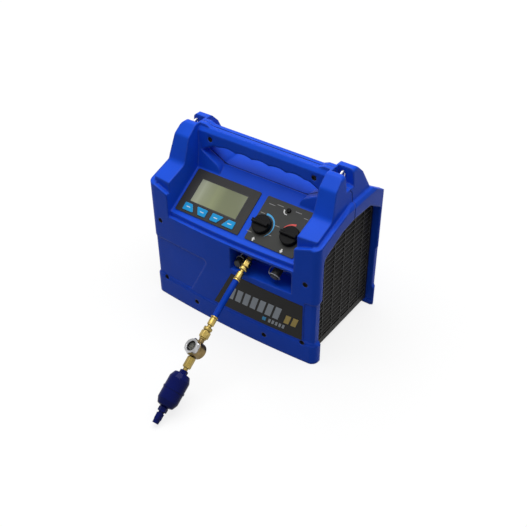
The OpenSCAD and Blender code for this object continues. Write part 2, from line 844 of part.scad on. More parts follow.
// Valve knob: a round body with a raised grip bar across it, pressed on its stem
module knob(u) {
    r = knob_d / 2;
    body_h = knob_h * 0.55;
    color("black") on_deck(u, knob_v, plate_t + press_gap) difference() {
        union() {
            revolve([[0, 0, 0], [r, 0, 0.8], [r - 1, body_h, 1.6], [0, body_h, 0]]);
            intersection() {
                cylinder(r1 = r - 0.6, r2 = r - 2.5, h = knob_h);
                along_x(-r, r)
                    polygon(smooth([[-5, 1, 0], [5, 1, 0], [3.6, knob_h, 1.6], [-3.6, knob_h, 1.6]]));
            }
        }
        translate([0, 0, -1]) cylinder(r = stem_r, h = body_h);
        translate([-r, -0.9, knob_h - 1]) cube([r * 0.7, 1.8, 2]);
    }
}
module inlet_knob() knob(knob_us[0]);
module outlet_knob() knob(knob_us[1]);

// Stems run from inside the knobs through the panel and the deck into the valve block
stem_top = plate_t + press_gap + knob_h * 0.55 - 1;
stem_low = -34;
module stem(u) color("goldenrod") on_deck(u, knob_v, stem_low) cylinder(r = stem_r, h = stem_top - stem_low);
module inlet_stem() stem(knob_us[0]);
module outlet_stem() stem(knob_us[1]);

// Valve block behind the ports, square to their axes
block_l = 42;
block_up = 25;
block_down = 13;
block_side = 17;
module valve_block() {
    color("silver") difference() {
        on_port(0) translate([port_x - block_side, -block_down, -block_front - block_l])
            cube([port_gap + 2 * block_side, block_up + block_down, block_l]);
        for (u = knob_us) on_deck(u, knob_v, stem_low - 2) cylinder(r = stem_r + run, h = above);
        for (x = [port_x, outlet_x])
            on_port(x) translate([0, 0, -block_front - 10]) cylinder(r = neck_r, h = 11);
    }
}
module pressure_sensors() {
    color("goldenrod") for (x = [port_x, outlet_x])
        on_port(x) translate([0, 4, -block_front - block_l - 26]) {
        translate([0, 0, 16]) hexagon(14, 10);
        cylinder(r = 6, h = 16);
    }
}

// Push button of the overload switch, and the switch under the deck
module push_button() {
    color("black") on_deck(panel_u, button_v, 0) {
        translate([0, 0, plate_t - 1.4]) revolve([
            [0, 0, 0], [button_d / 2, 0, 0], [button_d / 2, 4.6, 1], [0, 5, 0]
        ]);
        translate([0, 0, -wall - 6]) cylinder(r = 2.2, h = wall + 6 + plate_t - 1.4);
    }
}
module button_switch() {
    color("dimgray") on_deck(panel_u, button_v, -wall - 22) difference() {
        cylinder(r = 9, h = 22);
        translate([0, 0, 22 - 6 - button_travel - 1]) cylinder(r = 2.2 + run, h = above);
    }
}

// Flare port through the recess wall, with a hexagon outside and a tail to the valve block
module flare_port(x) {
    color("goldenrod") on_port(x) difference() {
        union() {
            hexagon(port_af, hex_l);
            revolve([
                [0, hex_l - 1, 0], [flare_r, hex_l - 1, 0], [flare_r, flare_l - 3, 0], [neck_r, flare_l, 0],
                [0, flare_l, 0]
            ]);
            translate([0, 0, -block_front]) cylinder(r = tail_r, h = block_front + 1);
            translate([0, 0, -wall - 8]) hexagon(port_af, 8);
        }
        translate([0, 0, -block_front - 1]) cylinder(r = 2.5, h = block_front + flare_l + 2);
    }
}
module inlet_port() flare_port(port_x);
module outlet_port() flare_port(outlet_x);

// Moulded dust caps: one on the outlet, one hanging free beside the inlet
module dust_cap() {
    difference() {
        union() {
            revolve([
                [0, 0, 0], [cap_r, 0, 0.6], [cap_r, cap_l - 5, 0], [cap_r - 1.5, cap_l, 1], [0, cap_l, 0]
            ]);
            for (i = [0 : 11]) rotate([0, 0, i * 30]) translate([cap_r - 1, -0.9, 1])
                cube([1 + cap_rib, 1.8, cap_l - 8]);
        }
        translate([0, 0, -1]) cylinder(r = flare_r + run, h = flare_l - hex_l + 1);
    }
}
module on_outlet_cap() on_port(outlet_x) translate([0, 0, hex_l + slip]) children();
module on_inlet_cap() {
    y = port_y - 2;
    back = port_wall_y(recess_floor_z);
    floor_z = recess_floor_z - recess_fall * (back - y) / (back + out_y);
    translate([recess_x + 13, y, floor_z + cap_ring_r + tether_r + run]) rotate([90, 0, 0]) children();
}
module outlet_cap() color("black") on_outlet_cap() dust_cap();
module inlet_cap() color("black") on_inlet_cap() dust_cap();
module tether_ring(r) rotate_extrude() translate([r, 0]) circle(r = tether_r, $fn = 16);
module port_ring() {
    translate([0, 0, hex_l / 2 + 1]) tether_ring(port_af / 2 / cos(30) + tether_gap + tether_r);
}
module cap_ring() translate([0, 0, cap_ring_at]) tether_ring(cap_ring_r);
module inlet_tether() {
    n = len(inlet_tether_route);
    color("gainsboro") {
        on_port(port_x) port_ring();
        on_inlet_cap() translate([0, 0, -cap_ring_at / 2]) cap_ring();
        swept_tube(
            inlet_tether_route, tether_r, 8,
            unit(inlet_tether_route[1] - inlet_tether_route[0]),
            unit(inlet_tether_route[n - 1] - inlet_tether_route[n - 2])
        );
    }
}
module outlet_tether() {
    n = len(outlet_tether_route);
    color("gainsboro") {
        on_port(outlet_x) port_ring();
        on_outlet_cap() cap_ring();
        swept_tube(
            outlet_tether_route, tether_r, 8,
            unit(outlet_tether_route[1] - outlet_tether_route[0]),
            unit(outlet_tether_route[n - 1] - outlet_tether_route[n - 2])
        );
    }
}

// Swivel nut, drawn with its mouth at z = 0 and a neck at its far end
module swivel_nut() {
    r = nut_d / 2;
    difference() {
        union() {
            revolve([
                [0, 0, 0], [r, 0, 0.8], [r, nut_l * 0.55, 0.8], [r - 1.6, nut_l * 0.62, 0],
                [r - 1.6, nut_l, 1.2],
                [0, nut_l, 0]
            ]);
            translate([0, 0, nut_l * 0.18]) hexagon(nut_d - 0.2, nut_l * 0.3);
            translate([0, 0, nut_l - 1]) cylinder(r = neck_r, h = neck_l + 1);
        }
        translate([0, 0, -1]) cylinder(r = flare_r + run, h = flare_l - nut_start + 2);
    }
}
module hose_nut_upper() color("goldenrod") on_port(port_x) translate([0, 0, nut_start]) swivel_nut();
module ferrule() {
    r = ferrule_d / 2;
    crimp = 0.7;
    revolve([
        [0, 0, 0], [r - 1, 0, 0], [r, 1, 0], [r, ferrule_l * 0.3, 0], [r - crimp, ferrule_l * 0.36, 0],
        [r - crimp, ferrule_l * 0.5, 0], [r, ferrule_l * 0.56, 0], [r, ferrule_l - 1, 0],
        [r - 0.6, ferrule_l, 0], [0, ferrule_l, 0]
    ]);
}
module hose_ferrule_upper() {
    color("goldenrod") on_port(port_x) translate([0, 0, port_reach - ferrule_l]) ferrule();
}
module charging_hose() {
    color("mediumblue") swept_tube(
        hose_route, hose_d / 2, hose_sides, axis_of(port_pitch, 0), axis_of(hose_end_pitch, hose_end_yaw)
    );
}

// Pieces below the hose, by their distance along its end axis
lower_nut_at = ferrule_l + neck_l;
sight_neck = 6;
sight_at = lower_nut_at + nut_l + sight_neck + sight_d / 2;
filter_nut_at = sight_at + sight_d / 2 + 9;
filter_nut_l = 20;
filter_at = filter_nut_at + filter_nut_l - 2;
module hose_ferrule_lower() color("goldenrod") on_hose_end() ferrule();
module hose_nut_lower() {
    color("goldenrod") on_hose_end() translate([0, 0, lower_nut_at + nut_l]) mirror([0, 0, 1]) swivel_nut();
}

// Sight glass: a round body across the line, with a neck at each end and a glass under a clamp ring
sight_roll = 14;
sight_half = 11;
sight_glass_r = 9;
ring_l = 8;
stub_in = 6;
module on_sight() {
    on_hose_end() translate([0, 0, sight_at]) rotate([-90, 0, 0]) rotate([0, -sight_roll, 0]) children();
}
module sight_glass_body() {
    color("darkgoldenrod") difference() {
        union() {
            on_sight() translate([0, 0, -sight_half]) revolve([
                [0, 0, 0], [sight_d / 2 - 1.5, 0, 0], [sight_d / 2, 1.5, 0],
                [sight_d / 2, 2 * sight_half - 1, 0],
                [sight_d / 2 - 1, 2 * sight_half, 0], [0, 2 * sight_half, 0]
            ]);
            on_hose_end() translate([0, 0, lower_nut_at + nut_l - stub_in])
                cylinder(r = flare_r, h = filter_nut_at + 2 * stub_in - lower_nut_at - nut_l + stub_in);
        }
        on_sight() translate([0, 0, sight_half - 5]) cylinder(r = sight_glass_r + slip, h = above);
    }
}
module sight_glass_ring() {
    color("silver") on_sight() translate([0, 0, sight_half]) difference() {
        hexagon(sight_d - 3, ring_l);
        translate([0, 0, -1]) cylinder(r = sight_glass_r + slip, h = ring_l + 2);
        translate([0, 0, ring_l - 2.5]) cylinder(r1 = sight_glass_r + slip, r2 = sight_glass_r + 3, h = 3);
    }
}
module sight_glass_lens() {
    color("lightcyan") on_sight() translate([0, 0, sight_half - 5])
        revolve([[0, 0, 0], [sight_glass_r, 0, 0], [sight_glass_r, ring_l + 1, 1.2], [0, ring_l + 2.2, 0]]);
}

// Filter drier: spun body with a bead round the middle, a nut above it and a capped outlet below
module filter_nut() {
    color("goldenrod") on_hose_end() translate([0, 0, filter_nut_at]) difference() {
        union() {
            hexagon(nut_d - 1, filter_nut_l * 0.6);
            cylinder(r = nut_d / 2 - 2, h = filter_nut_l);
        }
        translate([0, 0, -1]) cylinder(r = flare_r + run, h = 14);
        translate([0, 0, filter_nut_l - 2]) cylinder(r = neck_r + run, h = 3);
        cylinder(r = 3, h = filter_nut_l);
    }
}
cap_at = filter_at + filter_l + 6;
module filter_drier() {
    r = filter_d / 2;
    color("midnightblue") on_hose_end() translate([0, 0, filter_at]) revolve([
        [0, 0, 0], [neck_r, 0, 0], [neck_r, 7, 2], [r - 6, 9, 4], [r - 1, 20, 6],
        [r - 1, filter_l / 2 - 2, 0], [r, filter_l / 2 - 2, 0], [r, filter_l / 2 + 2, 0],
        [r - 1, filter_l / 2 + 2, 0], [r - 1, filter_l - 20, 6], [r - 6, filter_l - 9, 4],
        [neck_r + 1, filter_l - 6, 2], [neck_r + 1, filter_l + 6, 0], [neck_r - 1, filter_l + 12, 0],
        [0, filter_l + 12, 0]
    ]);
}
module filter_cap() {
    color("midnightblue") on_hose_end() translate([0, 0, cap_at]) difference() {
        union() {
            hexagon(14, 12);
            cylinder(r1 = 7.4, r2 = 6, h = 20);
        }
        translate([0, 0, -1]) cylinder(r1 = neck_r + 1 + slip, r2 = neck_r - 1 + slip, h = 9);
    }
}

// Compressor on its sprung bracket
bracket_x0 = motor_x0 - 6;
bracket_x1 = crank_x0 + crank_l + 6;
module compressor_bracket() {
    color("gray") translate([bracket_x0, motor_y - crank_d / 2 - 10, bracket_z])
        cube([bracket_x1 - bracket_x0, crank_d + 20, bracket_t]);
}
module rubber_mounts() {
    inset_x = 16;
    color("black") for (x = [bracket_x0 + inset_x, bracket_x1 - inset_x], s = [-1, 1])
        translate([x, motor_y + s * (crank_d / 2 - 2), tray_top]) revolve([
            [0, 0, 0], [11, 0, 0], [8, (bracket_z - tray_top) / 2, 3], [11, bracket_z - tray_top, 0],
            [0, bracket_z - tray_top, 0]
        ]);
}
module drive_motor() {
    ribs = 5;
    color("darkslategray") {
        translate([motor_x0, motor_y, motor_z]) rotate([0, 90, 0]) revolve([
            [0, 0, 0], [motor_d / 2 - 4, 0, 4], [motor_d / 2 - 1, 6, 0], [motor_d / 2 - 1, motor_l, 0],
            [0, motor_l, 0]
        ]);
        for (i = [1 : ribs]) translate([motor_x0 + i * motor_l / (ribs + 1), motor_y, motor_z])
            rotate([0, 90, 0]) cylinder(r = motor_d / 2, h = 3);
        translate([motor_x0 + 14, motor_y - 30, bracket_top]) cube([motor_l - 28, 60, motor_foot_h + 8]);
    }
}
module compressor_crankcase() {
    color("darkgray") {
        translate([crank_x0, motor_y - crank_d / 2, bracket_top]) cube([crank_l, crank_d, crank_h]);
        translate([crank_x0 + crank_l, motor_y, bracket_top + crank_h / 2])
            rotate([0, 90, 0]) cylinder(r = 34, h = 8);
    }
}
head_z = bracket_top + crank_h;
module cylinder_head() {
    fin_h = head_h / head_fins;
    color("silver") for (s = [-1, 1]) translate([crank_x0 + crank_l / 2, motor_y + s * head_gap, head_z]) {
        cylinder(r = 15, h = head_h);
        for (i = [1 : head_fins - 1]) translate([0, 0, i * fin_h]) cylinder(r = 20.5, h = 2.4);
        translate([-20, -20.5, head_h - 8]) cube([40, 41, 8]);
    }
}

// Condenser: hairpin tubes through upright fins, between two end plates
module condenser_coil() {
    z0 = tray_top;
    pass_gap = (coil_top - z0 - 24) / (pass_count - 1);
    fin_gap = (coil_y - 4) / (fin_count - 1);
    color("lightgray") {
        for (i = [0 : fin_count - 1]) translate([coil_x0, -coil_y / 2 + i * fin_gap, z0 + 4])
            cube([coil_t, i == 0 || i == fin_count - 1 ? 2 : 0.8, coil_top - z0 - 4]);
        for (s = [0, 1]) translate([coil_x0, -coil_y / 2 + s * (coil_y - 2), z0]) cube([coil_t, 2, 6]);
        for (i = [0 : pass_count - 1]) translate([coil_x, -coil_y / 2 - tube_over, z0 + 14 + i * pass_gap])
            rotate([-90, 0, 0]) cylinder(r = line_r + 0.5, h = coil_y + 2 * tube_over, $fn = 24);
    }
}

// Fan, its motor and the shroud that draws air through the condenser
module fan_shroud() {
    r = fan_d / 2 + duct_gap;
    x0 = coil_x0 - shroud_t;
    color("black") difference() {
        union() {
            translate([x0, -coil_y / 2, tray_top]) cube([shroud_t, coil_y, coil_top - tray_top]);
            translate([coil_x0 - duct_l, 0, fan_z])
                rotate([0, 90, 0]) cylinder(r = r + 3, h = duct_l, $fn = 72);
        }
        translate([coil_x0 - duct_l - 1, 0, fan_z])
            rotate([0, 90, 0]) cylinder(r = r, h = duct_l + 2, $fn = 72);
        translate([coil_x0 - duct_l - 1, -coil_y, -below]) cube([duct_l + 2, 2 * coil_y, below + tray_top]);
    }
}
module fan_rotor() {
    color("darkslategray") translate([fan_x, 0, fan_z]) rotate([0, 90, 0]) {
        translate([0, 0, -fan_hub_l / 2]) revolve([
            [0, 0, 0], [fan_hub_r, 0, 1], [fan_hub_r, fan_hub_l - 3, 3], [0, fan_hub_l, 0]
        ]);
        translate([0, 0, -fan_hub_l / 2 - 24]) cylinder(r = fan_shaft_r, h = 26);
        intersection() {
            for (i = [0 : blade_count - 1])
                rotate([0, 0, i * 360 / blade_count]) translate([fan_hub_r - 2, 0, 0])
                rotate([32, 0, 0]) translate([0, -19, -1.2]) cube([fan_d / 2, 38, 2.4]);
            cylinder(r = fan_d / 2, h = 3 * fan_hub_l, center = true);
        }
    }
}
module fan_motor() {
    color("gray") translate([fan_motor_x0, 0, fan_z]) rotate([0, 90, 0]) difference() {
        revolve([
            [0, 0, 0], [fan_motor_r, 0, 0], [fan_motor_r, fan_motor_l - 6, 4], [12, fan_motor_l, 0],
            [0, fan_motor_l, 0]
        ]);
        translate([0, 0, fan_motor_l - 22]) cylinder(r = fan_shaft_r + run, h = above);
    }
}
module fan_bracket() {
    t = 3;
    w = 2 * fan_motor_r;
    color("gray") {
        translate([fan_motor_x0 - t, -w / 2, tray_top]) cube([t, w, fan_z - tray_top + fan_motor_r * 0.6]);
        translate([fan_motor_x0 - t, -w / 2, tray_top]) cube([fan_motor_l * 0.8, w, t]);
    }
}

// Copper lines between the valve block, the compressor and the condenser
function port_point(x, up, back) = [
    x,
    port_y + back * cos(port_pitch) - up * sin(port_pitch),
    port_z + back * sin(port_pitch) + up * cos(port_pitch)
];
line_bend = 12;
line_r = line_d / 2;
module suction_line() {
    x = crank_x0 + crank_l / 2;
    y = motor_y - head_gap;
    from = port_point(port_x - block_side, 8, block_front + block_l / 2);
    color("peru") pipe([from, [x, from.y, from.z], [x, y, from.z], [x, y, head_z + head_h]], line_r);
}
module discharge_line() {
    x = crank_x0 + crank_l / 2;
    y = motor_y + head_gap;
    top = head_z + head_h;
    side_y = coil_y / 2 + tube_over + line_bend - 4;
    pass_z = coil_top - 10;
    color("peru") pipe([
        [x, y, top], [x, y, top + line_bend], [x, side_y, top + line_bend], [coil_x, side_y, top + line_bend],
        [coil_x, side_y, pass_z], [coil_x, coil_y / 2 + tube_over, pass_z]
    ], line_r);
}
module return_line() {
    side_y = -coil_y / 2 - tube_over - line_bend + 4;
    pass_z = tray_top + 14;
    to = port_point(outlet_x + block_side, 5, block_front + block_l / 2);
    color("peru") pipe([
        [coil_x, -coil_y / 2 - tube_over, pass_z], [coil_x, side_y, pass_z], [coil_x, side_y, to.z],
        [coil_x, to.y, to.z], to
    ], line_r);
}

// Control board standing on the tray behind the compressor
module control_board() {
    y = corner_y - wall - 24;
    color("darkgreen") translate([motor_x0, y, tray_top]) {
        cube([150, 2, 110]);
        translate([12, -12, 20]) cube([40, 12, 60]);
        for (i = [0 : 2]) translate([70 + i * 24, 0, 40]) rotate([90, 0, 0]) cylinder(r = 9, h = 14);
    }
}

// Appliance inlet in the rear shell: flange, body and three pins
module power_inlet() {
    t = 2;
    color("black") translate([inlet_u, inlet_seat, inlet_z]) {
        difference() {
            union() {
                translate([-inlet_w / 2, 0, -inlet_h / 2]) cube([inlet_w, t, inlet_h]);
                translate([-inlet_w / 2 + 9 + slip, -20, -inlet_h / 2 + 3 + slip])
                    cube([inlet_w - 18 - 2 * slip, 20, inlet_h - 6 - 2 * slip]);
            }
            translate([-inlet_w / 2 + 12, -16, -inlet_h / 2 + 6]) cube([inlet_w - 24, above, inlet_h - 12]);
        }
        for (x = [-7, 0, 7]) translate([x - 1, -17, x == 0 ? 0 : -4]) cube([2, 14, 4]);
    }
}

front_shell();
rear_shell();
base_tray();
left_grille();
right_grille();
left_strap_eye();
right_strap_eye();
front_screws();
rear_screws();
display_bezel();
display_window();
display_module();
display_board();
key_1();
key_2();
key_3();
key_4();
valve_panel();
inlet_knob();
outlet_knob();
inlet_stem();
outlet_stem();
valve_block();
push_button();
button_switch();
inlet_port();
outlet_port();
inlet_cap();
outlet_cap();
inlet_tether();
outlet_tether();
hose_nut_upper();
hose_ferrule_upper();
charging_hose();
hose_ferrule_lower();
hose_nut_lower();
sight_glass_body();
sight_glass_ring();
sight_glass_lens();
filter_nut();
filter_drier();
filter_cap();
compressor_bracket();
rubber_mounts();
drive_motor();
compressor_crankcase();
cylinder_head();
condenser_coil();
fan_shroud();
fan_rotor();
fan_motor();
fan_bracket();
suction_line();
discharge_line();
return_line();
control_board();
pressure_sensors();
power_inlet();
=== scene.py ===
"""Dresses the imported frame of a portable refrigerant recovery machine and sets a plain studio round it."""

from math import cos, pi, radians, sin

import bmesh
import bpy
import numpy as np
from bpy.props import FloatProperty, FloatVectorProperty, PointerProperty
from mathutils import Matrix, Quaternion, Vector


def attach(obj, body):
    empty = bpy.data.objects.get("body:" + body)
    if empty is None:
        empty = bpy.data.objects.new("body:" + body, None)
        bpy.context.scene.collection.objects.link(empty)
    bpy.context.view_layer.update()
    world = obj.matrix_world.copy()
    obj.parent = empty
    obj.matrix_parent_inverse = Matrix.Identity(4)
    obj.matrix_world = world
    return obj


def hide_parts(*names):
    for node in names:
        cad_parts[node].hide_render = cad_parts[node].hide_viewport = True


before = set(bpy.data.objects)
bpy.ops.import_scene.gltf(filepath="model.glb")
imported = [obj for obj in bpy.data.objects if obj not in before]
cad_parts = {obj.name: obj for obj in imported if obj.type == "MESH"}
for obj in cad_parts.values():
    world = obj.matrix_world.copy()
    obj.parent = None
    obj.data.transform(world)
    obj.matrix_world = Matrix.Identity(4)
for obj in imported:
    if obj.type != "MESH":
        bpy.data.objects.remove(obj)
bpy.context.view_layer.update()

bl_info = {
    "name": "Refrigerant recovery machine",
    "version": (1, 0, 0),
    "blender": (4, 5, 0),
    "location": "View3D > Sidebar > Recovery machine",
    "description": "Dresses the frame of a refrigerant recovery machine and sets a studio round it",
    "category": "Object",
}

# Shapes are worked out in millimetres, and a piece is made from them in metres
MM = 0.001
# Left between faces that meet
GAP = 0.02


# Frames: an origin, and the directions of the local x, y and z as rows
def tilted(origin, pitch, yaw=0.0):
    """Axes turned about X by pitch and then about Z by yaw, both in degrees."""
    c, s = cos(radians(pitch)), sin(radians(pitch))
    cy, sy = cos(radians(yaw)), sin(radians(yaw))
    about_x = np.array([[1, 0, 0], [0, c, s], [0, -s, c]])
    about_z = np.array([[cy, sy, 0], [-sy, cy, 0], [0, 0, 1]])
    return np.array(origin, float), about_x @ about_z


def raised(place, height):
    """The same axes with the origin moved along the local z."""
    return place[0] + height * place[1][2], place[1]


def put(place, points):
    """Points of a local frame in the object's frame."""
    return place[0] + np.asarray(points, float) @ place[1]


# Route of the charging hose from ferrule to ferrule
ROUTE = np.array([
    [42, -154, 162], [42, -159, 159.1], [42, -164, 156.2], [42, -169, 153.3], [42.1, -174, 150.4],
    [42.2, -179, 147.5], [42.3, -184, 144.6], [42.5, -189, 141.7], [42.7, -194, 138.8],
    [42.9, -199, 135.9], [43.1, -204, 133], [43.3, -209, 130.1], [43.5, -214, 127.2],
    [43.75, -219, 124.3], [44, -224, 121.4],
])

# Hose fittings: lengths, and places along the inlet port's axis and then along the hose's end axis
NUT_L = 24.0
NUT_NECK_L = 6.0
NUT_NECK_R = 4.4
FERRULE_L = 19.0
UPPER_NUT_AT = 14.0
UPPER_FERRULE_AT = UPPER_NUT_AT + NUT_L + NUT_NECK_L
LOWER_NUT_AT = FERRULE_L + NUT_NECK_L
SIGHT_R = 16.0
SIGHT_STUB = 9.0
SIGHT_AT = LOWER_NUT_AT + NUT_L + NUT_NECK_L + SIGHT_R
SIGHT_ROLL = -14.0
FILTER_NUT_AT = SIGHT_AT + SIGHT_R + SIGHT_STUB
FILTER_NUT_L = 20.0
THREAD_LAP = 2.0
DRIER_L = 84.0
DRIER_END_AT = FILTER_NUT_AT + FILTER_NUT_L - THREAD_LAP + DRIER_L
HEX_STEPS = 144

# Both axes fall towards the front, and the hose's end swings to the right, in degrees
PORT_DROP = 30.0
HOSE_DROP = 30.4
HOSE_SWING = 2.9
PORT_AXIS = np.array([0, cos(radians(PORT_DROP)), sin(radians(PORT_DROP))])
INLET_PORT = tilted(ROUTE[0] + (UPPER_FERRULE_AT + FERRULE_L) * PORT_AXIS, 90 + PORT_DROP)
HOSE_END = tilted(ROUTE[-1], 90 + HOSE_DROP, HOSE_SWING)

# Case: the sloping deck, the bowed front and the ends of the tower's outer side as (x, z)
DECK = tilted((0, -112, 225), 33.5)
BOW_R = 2293.9
FACE_Y = 128.0
TOWER_BASE = (193.0, 315.0)
TOWER_TOP = (186.0, 377.0)
TOWER_SLOPE = (TOWER_TOP[0] - TOWER_BASE[0]) / (TOWER_TOP[1] - TOWER_BASE[1])

# Screws on the right as (x, z): those on the face, and one in the grip at its own depth
FACE_SCREWS = ((177, 194), (174, 47), (87, 25))
GRIP_SCREW = (122, 351)
GRIP_DEPTH = 17.0
BUMPER_TOP = 46.0

# Strap wires: place of the legs, and the height of their roots and of the arch's centre
STRAP_X = 171.0
STRAP_HALF = 7.5
STRAP_ROOT = 338.5
STRAP_ARCH = 365.6
WIRE_R = 2.25

# Seam: its y, half width and thickness, the right halves of its runs as (x, z), and its jog as (y, z)
SEAM_Y = 0.25
SEAM_HALF = 0.75
SEAM_T = 0.08
SADDLE_SEAM = ((91, 297.02), (98.5, 298.5), (146, 322.8))
GRIP_SEAM = ((124, 372.02),)
SIDE_SEAM = ((203.02, 305), (203.02, 284))
TOWER_JOG = ((0, 342), (0, 339), (5, 334), (5, TOWER_BASE[1]))

# Deck: films as (u, v) rectangles from low to high corner, keys, knobs, and the levels of the prints
MASK_OUTER = (-127, 28, -7, 87)
MASK_INNER = (-124.8, 31.6, -9.2, 84.8)
MASK_LEVEL = 1.82
# LINE: a ring of painted shadow round the inside of the display's opening
LINE_OUTER = (-125.6, 30.8, -8.4, 85.6)
LINE_INNER = (-123.2, 32.6, -10.2, 84.0)
LINE_LEVEL = 1.9
FIRST_KEY_U = -118.6
KEY_PITCH = 34.4
KEY_V = 18.9
KEY_LEVEL = 3.2
PANEL_LEVEL = 1.8
INLET_KNOB = (48.5, 42.5)
OUTLET_KNOB = (113.5, 42.5)
PUSH_BUTTON = (81.5, 86.5)
INK_T = 0.06
TICK_T = 0.05
ARC_POINTS = 28

# Front plate: its (x, z) corners and its thickness
PLATE = ((-38, 54), (174, 54), (174, 141), (9, 147))
PLATE_T = 0.4

# Stage, in metres, with the camera's sensor in millimetres
FLOOR_HALF = 7.0
FLOOR_POINTS = 8
FLOOR_DROP = 0.0004
LAMP_AT = (-0.1, 0.05)
# How bright the lamp alone makes a white surface at the floor's middle, where 1 is white
LAMP_SHARE = 0.94
SENSOR_WIDTH = 36


def face_y(x):
    """Depth of the bowed front at x: a circle of radius BOW_R whose crown is FACE_Y out."""
    return FACE_Y - BOW_R + np.sqrt(BOW_R**2 - np.asarray(x, float) ** 2)


def tower_x(z):
    """Where the tower's straight outer side stands at height z."""
    return TOWER_BASE[0] + TOWER_SLOPE * (z - TOWER_BASE[1])


# Settings that a user would change
def colour(name, words, value):
    return FloatVectorProperty(
        name=name, description=words, subtype="COLOR", size=3, min=0, max=1, default=value)


def length(name, words, value):
    return FloatProperty(
        name=name, description=words, unit="LENGTH", subtype="DISTANCE", min=0, default=value)


def angle(name, words, degrees):
    return FloatProperty(name=name, description=words, subtype="ANGLE", default=radians(degrees))


class StageSettings(bpy.types.PropertyGroup):
    """Camera, lamp and surroundings"""
    camera_at: FloatVectorProperty(
        name="Camera place", description="Where the camera stands", subtype="TRANSLATION", unit="LENGTH",
        default=(0.78612, -1.07770, 1.13071))
    azimuth: angle("Azimuth", "How far the camera stands round to the right", 36.32)
    elevation: angle("Elevation", "How far the camera looks down", 38.06)
    roll: angle("Roll", "Tilt of the picture", -0.41)
    lens: FloatProperty(
        name="Lens", description="Focal length on a 36 mm frame", subtype="DISTANCE_CAMERA", min=10,
        default=54.71)
    lamp_size: length("Lamp size", "Edge of the square overhead lamp", 2.4)
    lamp_height: length("Lamp height", "Height of the overhead lamp", 2.3)
    lamp_power: FloatProperty(
        name="Lamp power", description="Power of the overhead lamp", subtype="POWER", min=0, default=54)
    ambient: FloatProperty(
        name="Ambient", description="Light from all round", subtype="FACTOR", min=0, max=1, default=0.2)
    floor_shade: FloatProperty(
        name="Floor shade", description="Share of light that the floor gives back", subtype="FACTOR",
        min=0, max=1, default=0.2)


class FinishSettings(bpy.types.PropertyGroup):
    """Colours of the pieces that show"""
    shell: colour("Shell", "Blue of the moulded case", (0.008, 0.080, 0.68))
    grille: colour("Grille", "Black of the side louvres", (0.014, 0.013, 0.012))
    bezel: colour("Bezel", "Charcoal of the display surround", (0.034, 0.033, 0.032))
    panel: colour("Valve panel", "Charcoal of the valve panel", (0.046, 0.047, 0.044))
    glass: colour("Display", "Grey-green of the unlit display", (0.295, 0.325, 0.175))
    key: colour("Keys", "Cyan of the keys", (0.012, 0.31, 0.66))
    knob: colour("Knobs", "Black of the valve knobs", (0.0045, 0.0045, 0.005))
    brass: colour("Brass", "Bright brass of the nuts", (0.60, 0.44, 0.13))
    cast_brass: colour("Cast brass", "Duller brass of the sight glass", (0.24, 0.17, 0.07))
    hose: colour("Hose", "Blue of the charging hose", (0.001, 0.046, 0.43))
    drier: colour("Filter drier", "Navy enamel of the filter drier", (0.0012, 0.0060, 0.105))
    label: colour("Label", "Charcoal of the bare front plate", (0.016, 0.015, 0.014))
    stripe: colour("Stripe", "Pale bars on the front plate", (0.36, 0.40, 0.45))
    accent: colour("Accent", "Gold bars on the front plate", (0.50, 0.36, 0.08))
    open_blue: colour("Inlet arc", "Blue arc by the inlet knob", (0.03, 0.36, 0.72))
    shut_red: colour("Outlet arc", "Red arc by the outlet knob", (0.72, 0.06, 0.05))


class FittingSettings(bpy.types.PropertyGroup):
    """Sizes of the hose and its fittings"""
    hose_d: length("Hose diameter", "Outer diameter of the charging hose", 0.0124)
    nut_d: length("Nut diameter", "Diameter of the swivel nuts", 0.018)
    ferrule_d: length("Ferrule diameter", "Diameter of the hose ferrules", 0.0148)


# Colours of the finishes that have no setting
CHROME = (0.50, 0.50, 0.51)
WIRE_STEEL = (0.62, 0.62, 0.61)
SCREW_BLACK = (0.006, 0.006, 0.007)
MODULE_GREY = (0.12, 0.12, 0.13)
BOARD_GREEN = (0.012, 0.10, 0.03)
# Painted shadow round the display window
SHADOW_LINE_BLACK = (0.006, 0.006, 0.006)
KEY_INK = (0.62, 0.72, 0.78)
INK_WHITE = (0.72, 0.72, 0.70)
INK_GREY = (0.26, 0.26, 0.25)
CAP_BLACK = (0.012, 0.012, 0.013)
TETHER_GREY = (0.42, 0.44, 0.47)
STEEL = (0.42, 0.43, 0.44)
ALLOY = (0.55, 0.56, 0.57)
COPPER = (0.72, 0.33, 0.20)
MOTOR_BLACK = (0.02, 0.02, 0.022)
BLOCK_BRASS = (0.62, 0.44, 0.18)
MOUNT_BLACK = (0.012, 0.012, 0.012)
SOCKET_BLACK = (0.010, 0.010, 0.011)


# Surfaces on grids of two parameters
def grid_faces(rows, cols, ring):
    """Quads between neighbouring points of a grid; in a ring the last column meets the first."""
    i, j = np.meshgrid(np.arange(rows - 1), np.arange(cols if ring else cols - 1), indexing="ij")
    k = (j + 1) % cols
    row, above = i * cols, (i + 1) * cols
    return np.stack([row + j, row + k, above + k, above + j], -1).reshape(-1, 4)


def softened(points, steps=4):
    """Rounds the corners of a polyline of (a, b, cut) rows: each corner becomes a parabola that leaves
    the legs cut before and after it."""
    p = np.asarray(points, float)
    rows = [p[0, :2]]
    for before, here, after in zip(p[:-2], p[1:-1], p[2:]):
        if here[2] <= 0:
            rows.append(here[:2])
            continue
        a = before[:2] - here[:2]
        b = after[:2] - here[:2]
        start = here[:2] + a / np.linalg.norm(a) * min(here[2], np.linalg.norm(a) / 2)
        end = here[:2] + b / np.linalg.norm(b) * min(here[2], np.linalg.norm(b) / 2)
        t = np.linspace(0, 1, steps + 1)[:, None]
        rows.extend((1 - t) ** 2 * start + 2 * t * (1 - t) * here[:2] + t**2 * end)
    rows.append(p[-1, :2])
    return np.array(rows)


